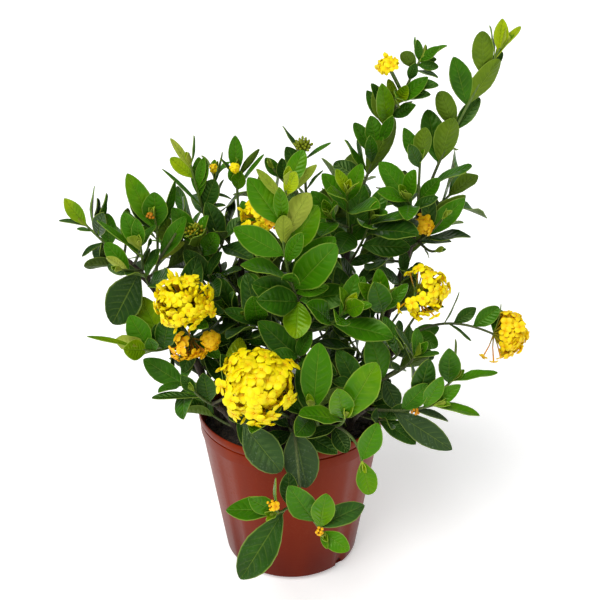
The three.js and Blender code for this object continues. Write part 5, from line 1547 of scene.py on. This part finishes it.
# %% One floret
def lobe(radius, draw, angle):
    part = new_part()
    bmesh.ops.create_uvsphere(part, u_segments=8, v_segments=4, radius=1)
    cup, tilt = 0.42 * draw() - 0.08, 26 * (draw() - 0.5)
    for vert in part.verts:
        x, y, z = vert.co
        x, y = radius * (0.55 + 0.47 * x), radius * 0.5 * y
        fall = cup * (x / radius) ** 2 * radius
        vert.co = (x, y, 0.13 * radius * z - fall + 0.1 * abs(y))
        paint(part, [vert], (0.5 + 0.5 * x / radius, 0, 0, 0))
    turn = Matrix.Rotation(angle, 4, "Z") @ Matrix.Rotation(math.radians(9 + tilt), 4, "X")
    bmesh.ops.transform(part, matrix=turn, verts=part.verts)
    return part


def jitter(draw):
    return Vector((draw() - 0.5, draw() - 0.5, draw() - 0.5))


def floret(top, facing, hub, radius, draw, orange):
    """Four lobes and a throat at the top, and a tube that runs back to the hub."""
    turn = UP.rotation_difference(facing).to_matrix().to_4x4()
    frame_here = Matrix.Translation(top) @ turn
    parts = []
    spin = math.tau * draw()
    for i in range(4):
        parts.append(lobe(radius, draw, spin + i * math.pi / 2 + 0.12 * (draw() - 0.5)))
        bmesh.ops.transform(parts[-1], matrix=frame_here, verts=parts[-1].verts)
    throat = new_part()
    bmesh.ops.create_uvsphere(throat, u_segments=6, v_segments=4, radius=0.95)
    bmesh.ops.transform(throat, matrix=frame_here, verts=throat.verts)
    paint(throat, throat.verts, (0.45, 0, 0, 0))
    length = (top - hub).length
    middle = (top + hub) / 2 + jitter(draw) * (length * 0.06)
    tube = bar([hub, middle, top], [0.7, 0.55, 0.75], 5, (0.3, 0, 0, 0))
    for vert in tube.verts:
        paint(tube, [vert], (0.02 + 0.4 * (vert.co - hub).length / max(1, length), 0, 0, 0))
    parts += [throat, tube]
    for part in parts:
        layer = part.verts.layers.float_color["look"]
        chance = draw()
        for vert in part.verts:
            vert[layer] = (vert[layer][0], orange, chance, 0)
    return parts


def pointed_bud(top, hub, draw, orange, ripe=1.0):
    """A closed floret: a thin tube with a pointed swelling at its end."""
    way = (top - hub).normalized()
    marks = ((0, 0.6), (0.5, 0.55), (0.72, 0.75), (0.84, 1.35), (0.93, 1.15), (1.0, 0.2))
    length = (top - hub).length
    part = bar([hub + way * length * t for t, _ in marks], [r for _, r in marks], 6, (0, 0, 0, 0))
    for vert in part.verts:
        up = (vert.co - hub).length / length
        paint(part, [vert], (0.95 * up * ripe, orange, draw(), 0))
    return part


# %% [markdown]
# The florets sit on an even spiral over the dome, at three slightly different heights, so
# that lobes overlap as roof tiles do and don't cut through each other much.

# %% Grow the heads
DROOPING = {
    "bloom_far_right": [(162, -50, 229), (171, -52, 225), (177, -50, 228)],
    "bloom_left": [(-62, -84, 292), (-60, -80, 284)],
    "bloom_small": [(-97, -64, 242), (-94, -66, 236)],
}
BARE_SIDE = {"bloom_right": (-0.75, -0.3, 0.55), "bloom_small": (0.5, -0.8, 0.5)}
BARE_REACH = 0.74  # how nearly a floret must face the bare side to be left out
GOLDEN = math.pi * (3 - math.sqrt(5))


def on_spiral(i, height):
    """The way to point i of an even spiral over a ball, at that height on it."""
    across = math.sqrt(1 - height * height)
    return Vector((across * math.cos(GOLDEN * i), across * math.sin(GOLDEN * i), height))


def grow_head(row, seed):
    name, stem, t, middle, facing, radius, spread, count, size, buds, orange = row
    middle, facing = Vector(middle), Vector(facing).normalized()
    bare = Vector(BARE_SIDE.get(name, (0, 0, 0))).normalized()
    draw = drawer(seed)
    whole = new_part()
    start = curve_point(shoots[stem]["curve"], t)
    hub = middle - facing * radius * 0.45
    stalk_curve = [list(start), list((start + hub) / 2 - facing * 3), list(hub)]
    add_to(whole, bar(along(stalk_curve, 4), 1.5, 8, (0.8, 0, 0.5, 0)), TWIG)
    lowest = math.cos(math.radians(spread))
    turn = UP.rotation_difference(facing)
    total = count + buds
    for i in range(total):
        way = turn @ on_spiral(i, 1 - (i + 0.5) / total * (1 - lowest))
        way = (way + jitter(draw) * 0.3).normalized()
        if way.dot(bare) > BARE_REACH:
            continue
        lump = 0.3 * radius * noise.noise(way * 2.2 + Vector((seed, 0, 0)))
        reach = radius * (1.05 - 0.1 * (i % 3) - 0.14 * draw()) + lump
        lean = jitter(draw) * 0.9
        top = middle + way * reach
        foot = hub + way * radius * 0.12
        if draw() < buds / total * (0.4 + 1.2 * max(0, way.z)):
            top += (way + 0.6 * UP) * (1 + 4 * draw())
            add_to(whole, pointed_bud(top, foot, draw, orange))
        else:
            add_all(whole, floret(top, (way + lean).normalized(), foot, size, draw, orange))
    for spot in DROOPING.get(name, []):
        way = (Vector(spot) - hub).normalized()
        add_all(whole, floret(Vector(spot), way, hub, 0.8 * size, draw, min(1, orange + 0.2)))
    piece_name = name.replace("bloom", "flower_head")
    return make_piece(piece_name, whole, [petal_finish, stem_finish], "petal", name)


for seed, row in enumerate(HEADS):
    head = grow_head(row, 500 + seed)
    print(head.name, "faces", len(head.data.polygons))

# %% [markdown]
# ## Bud clusters
# Some shoots are about to bloom. Their tips carry small clusters: green pointed buds first,
# then yellow ones, and here and there the first open floret.

# %% Grow the bud clusters
def nearest_twig(spot):
    """The point of any shoot that is nearest to a spot."""
    points = [curve_point(shoot["curve"], i / 20) for shoot in shoots.values() for i in range(21)]
    return min(points, key=lambda point: (point - spot).length)


def bud_cluster(whole, middle, way, radius, buds, open_florets, orange, ripe, seed):
    draw = drawer(seed)
    middle, way = Vector(middle), Vector(way).normalized()
    foot = middle - way * radius * 0.7
    start = nearest_twig(foot)
    stalk_curve = [list(start), list((start + foot) / 2 + UP * 0.5), list(foot + way * 0.5)]
    add_to(whole, bar(along(stalk_curve, 3), 0.8, 6, (0.7, 0, 0.5, 0)), TWIG)
    turn = UP.rotation_difference(way)
    total = buds + open_florets
    for i in range(total):
        out = turn @ on_spiral(i, 1 - (i + 0.5) / total)
        top = middle + out * radius * (0.7 + 0.4 * draw())
        if i < open_florets:
            add_all(whole, floret(top, out, foot, 0.5 * radius + 1.8, draw, orange))
        else:
            add_to(whole, pointed_bud(top, foot, draw, orange, ripe))


# name, middle, way it faces, radius, buds, open florets, orange, ripe (0 green to 1 yellow)
CLUSTERS = [
    ["green_buds_left", [-79, -14, 327], [0.1, -0.5, 0.85], 9, 34, 0, 0.0, 0.2],
    ["green_buds_back", [11, 12, 393], [0.1, -0.2, 0.95], 8, 34, 0, 0.0, 0.14],
    ["first_florets_back", [-46, 12, 374], [0.0, -0.8, 0.5], 4, 6, 3, 0.0, 0.6],
    ["first_florets_back_left", [-66, 34, 367], [0.1, -0.7, 0.6], 3.5, 3, 3, 0.3, 0.8],
    ["orange_buds_left", [-114, -22, 344], [0.0, -0.8, 0.5], 3.5, 7, 0, 0.7, 0.3],
    ["orange_buds_centre", [-12, -60, 352], [-0.5, -0.7, 0.4], 6.5, 18, 2, 0.8, 0.7],
    ["orange_buds_low_left", [-13, -140, 144.5], [0.1, -0.9, 0.4], 5, 9, 1, 0.8, 0.8],
    ["orange_buds_low_right", [24, -148, 125], [0.0, -0.9, 0.4], 4, 8, 0, 0.6, 0.6],
    ["orange_buds_low_side", [102, -92, 201], [0.0, -0.9, 0.4], 3.5, 6, 0, 0.6, 0.32],
    ["late_florets_left", [-65, -62, 251], [0.4, -0.9, 0.1], 8, 3, 11, 0.75, 1.0],
    ["late_florets_right", [112, -2, 329], [0.2, -0.9, 0.3], 8, 4, 8, 0.75, 1.0],
]
for seed, (name, middle, way, radius, buds, open_florets, orange, ripe) in enumerate(CLUSTERS):
    whole = new_part()
    bud_cluster(whole, middle, way, radius, buds, open_florets, orange, ripe, 800 + seed)
    make_piece(name, whole, [petal_finish, stem_finish], "petal")
print("bud clusters", len(CLUSTERS))

# %% [markdown]
# ## Floor and light
# A pale floor and soft light keep the glossy leaves readable. Suns light the floor evenly
# far out, which lamps near the plant can't do, and a wide sun angle gives soft shadows.

# %% Floor and light
FLOOR_HALF = 12
floor_part = bmesh.new()
bmesh.ops.create_grid(floor_part, x_segments=1, y_segments=1, size=FLOOR_HALF)
floor_mesh = bpy.data.meshes.new("floor")
floor_part.to_mesh(floor_mesh)
floor_part.free()
floor = new_object("floor", floor_mesh)
floor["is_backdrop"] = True
floor_finish, tree, shader = new_material("pale_floor")
feed(tree, shader, Base_Color=(0.94, 0.94, 0.935, 1), Roughness=0.9)
feed(tree, shader, Emission_Color=(1, 1, 1, 1), Emission_Strength=0.3)
floor_mesh.materials.append(floor_finish)

scene = bpy.context.scene
scene.view_settings.view_transform = "Standard"
world = bpy.data.worlds.new("studio")
scene.world = world
world.use_nodes = True
sky = world.node_tree.nodes["Background"]
feed(world.node_tree, sky, Color=(1, 1, 1, 1), Strength=0.27)


def soft_sun(name, way, angle, power):
    """A sun that shines that way. A wide angle gives soft shadows."""
    lamp = bpy.data.lights.new(name, "SUN")
    lamp.angle = math.radians(angle)
    lamp.energy = power
    sun = new_object(name, lamp)
    sun.rotation_mode = "QUATERNION"
    sun.rotation_quaternion = Vector(way).to_track_quat("-Z", "Y")


soft_sun("key_sun", (0.5, 0.7, -1.0), 40, 2.7)
soft_sun("fill_sun", (-0.8, 0.9, -0.6), 60, 0.45)
soft_sun("back_sun", (-0.2, -0.9, -0.8), 50, 0.5)
print("floor", 2 * FLOOR_HALF, "m wide, suns 3")

# %% [markdown]
# ## Camera
# The camera stands in front of the plant and looks down on it a little, as a person does
# who stands before a table. A longish lens keeps the pot from looking stretched.

# %% Camera
CAMERA_PLACE = (0.0083, -0.7299, 0.5911)
LOOKS_DOWN = 24.5  # degrees under the horizon
camera_data = bpy.data.cameras.new("camera")
camera_data.lens = 54.9
camera_data.sensor_width = 36
camera_data.clip_start = 0.01
camera = new_object("camera", camera_data)
camera.location = CAMERA_PLACE
camera.rotation_euler = (math.radians(90 - LOOKS_DOWN), 0, 0)
scene.camera = camera
print("camera", round(CAMERA_PLACE[2] / MM), "mm up")

# %% [markdown]
# ## Size
# The finer shapes must still fill the same room as the solids. Their box is measured here
# and printed.

# %% Measure the size
low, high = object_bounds()
print("visual box mm", [round(v / MM) for v in (*low, *high)])
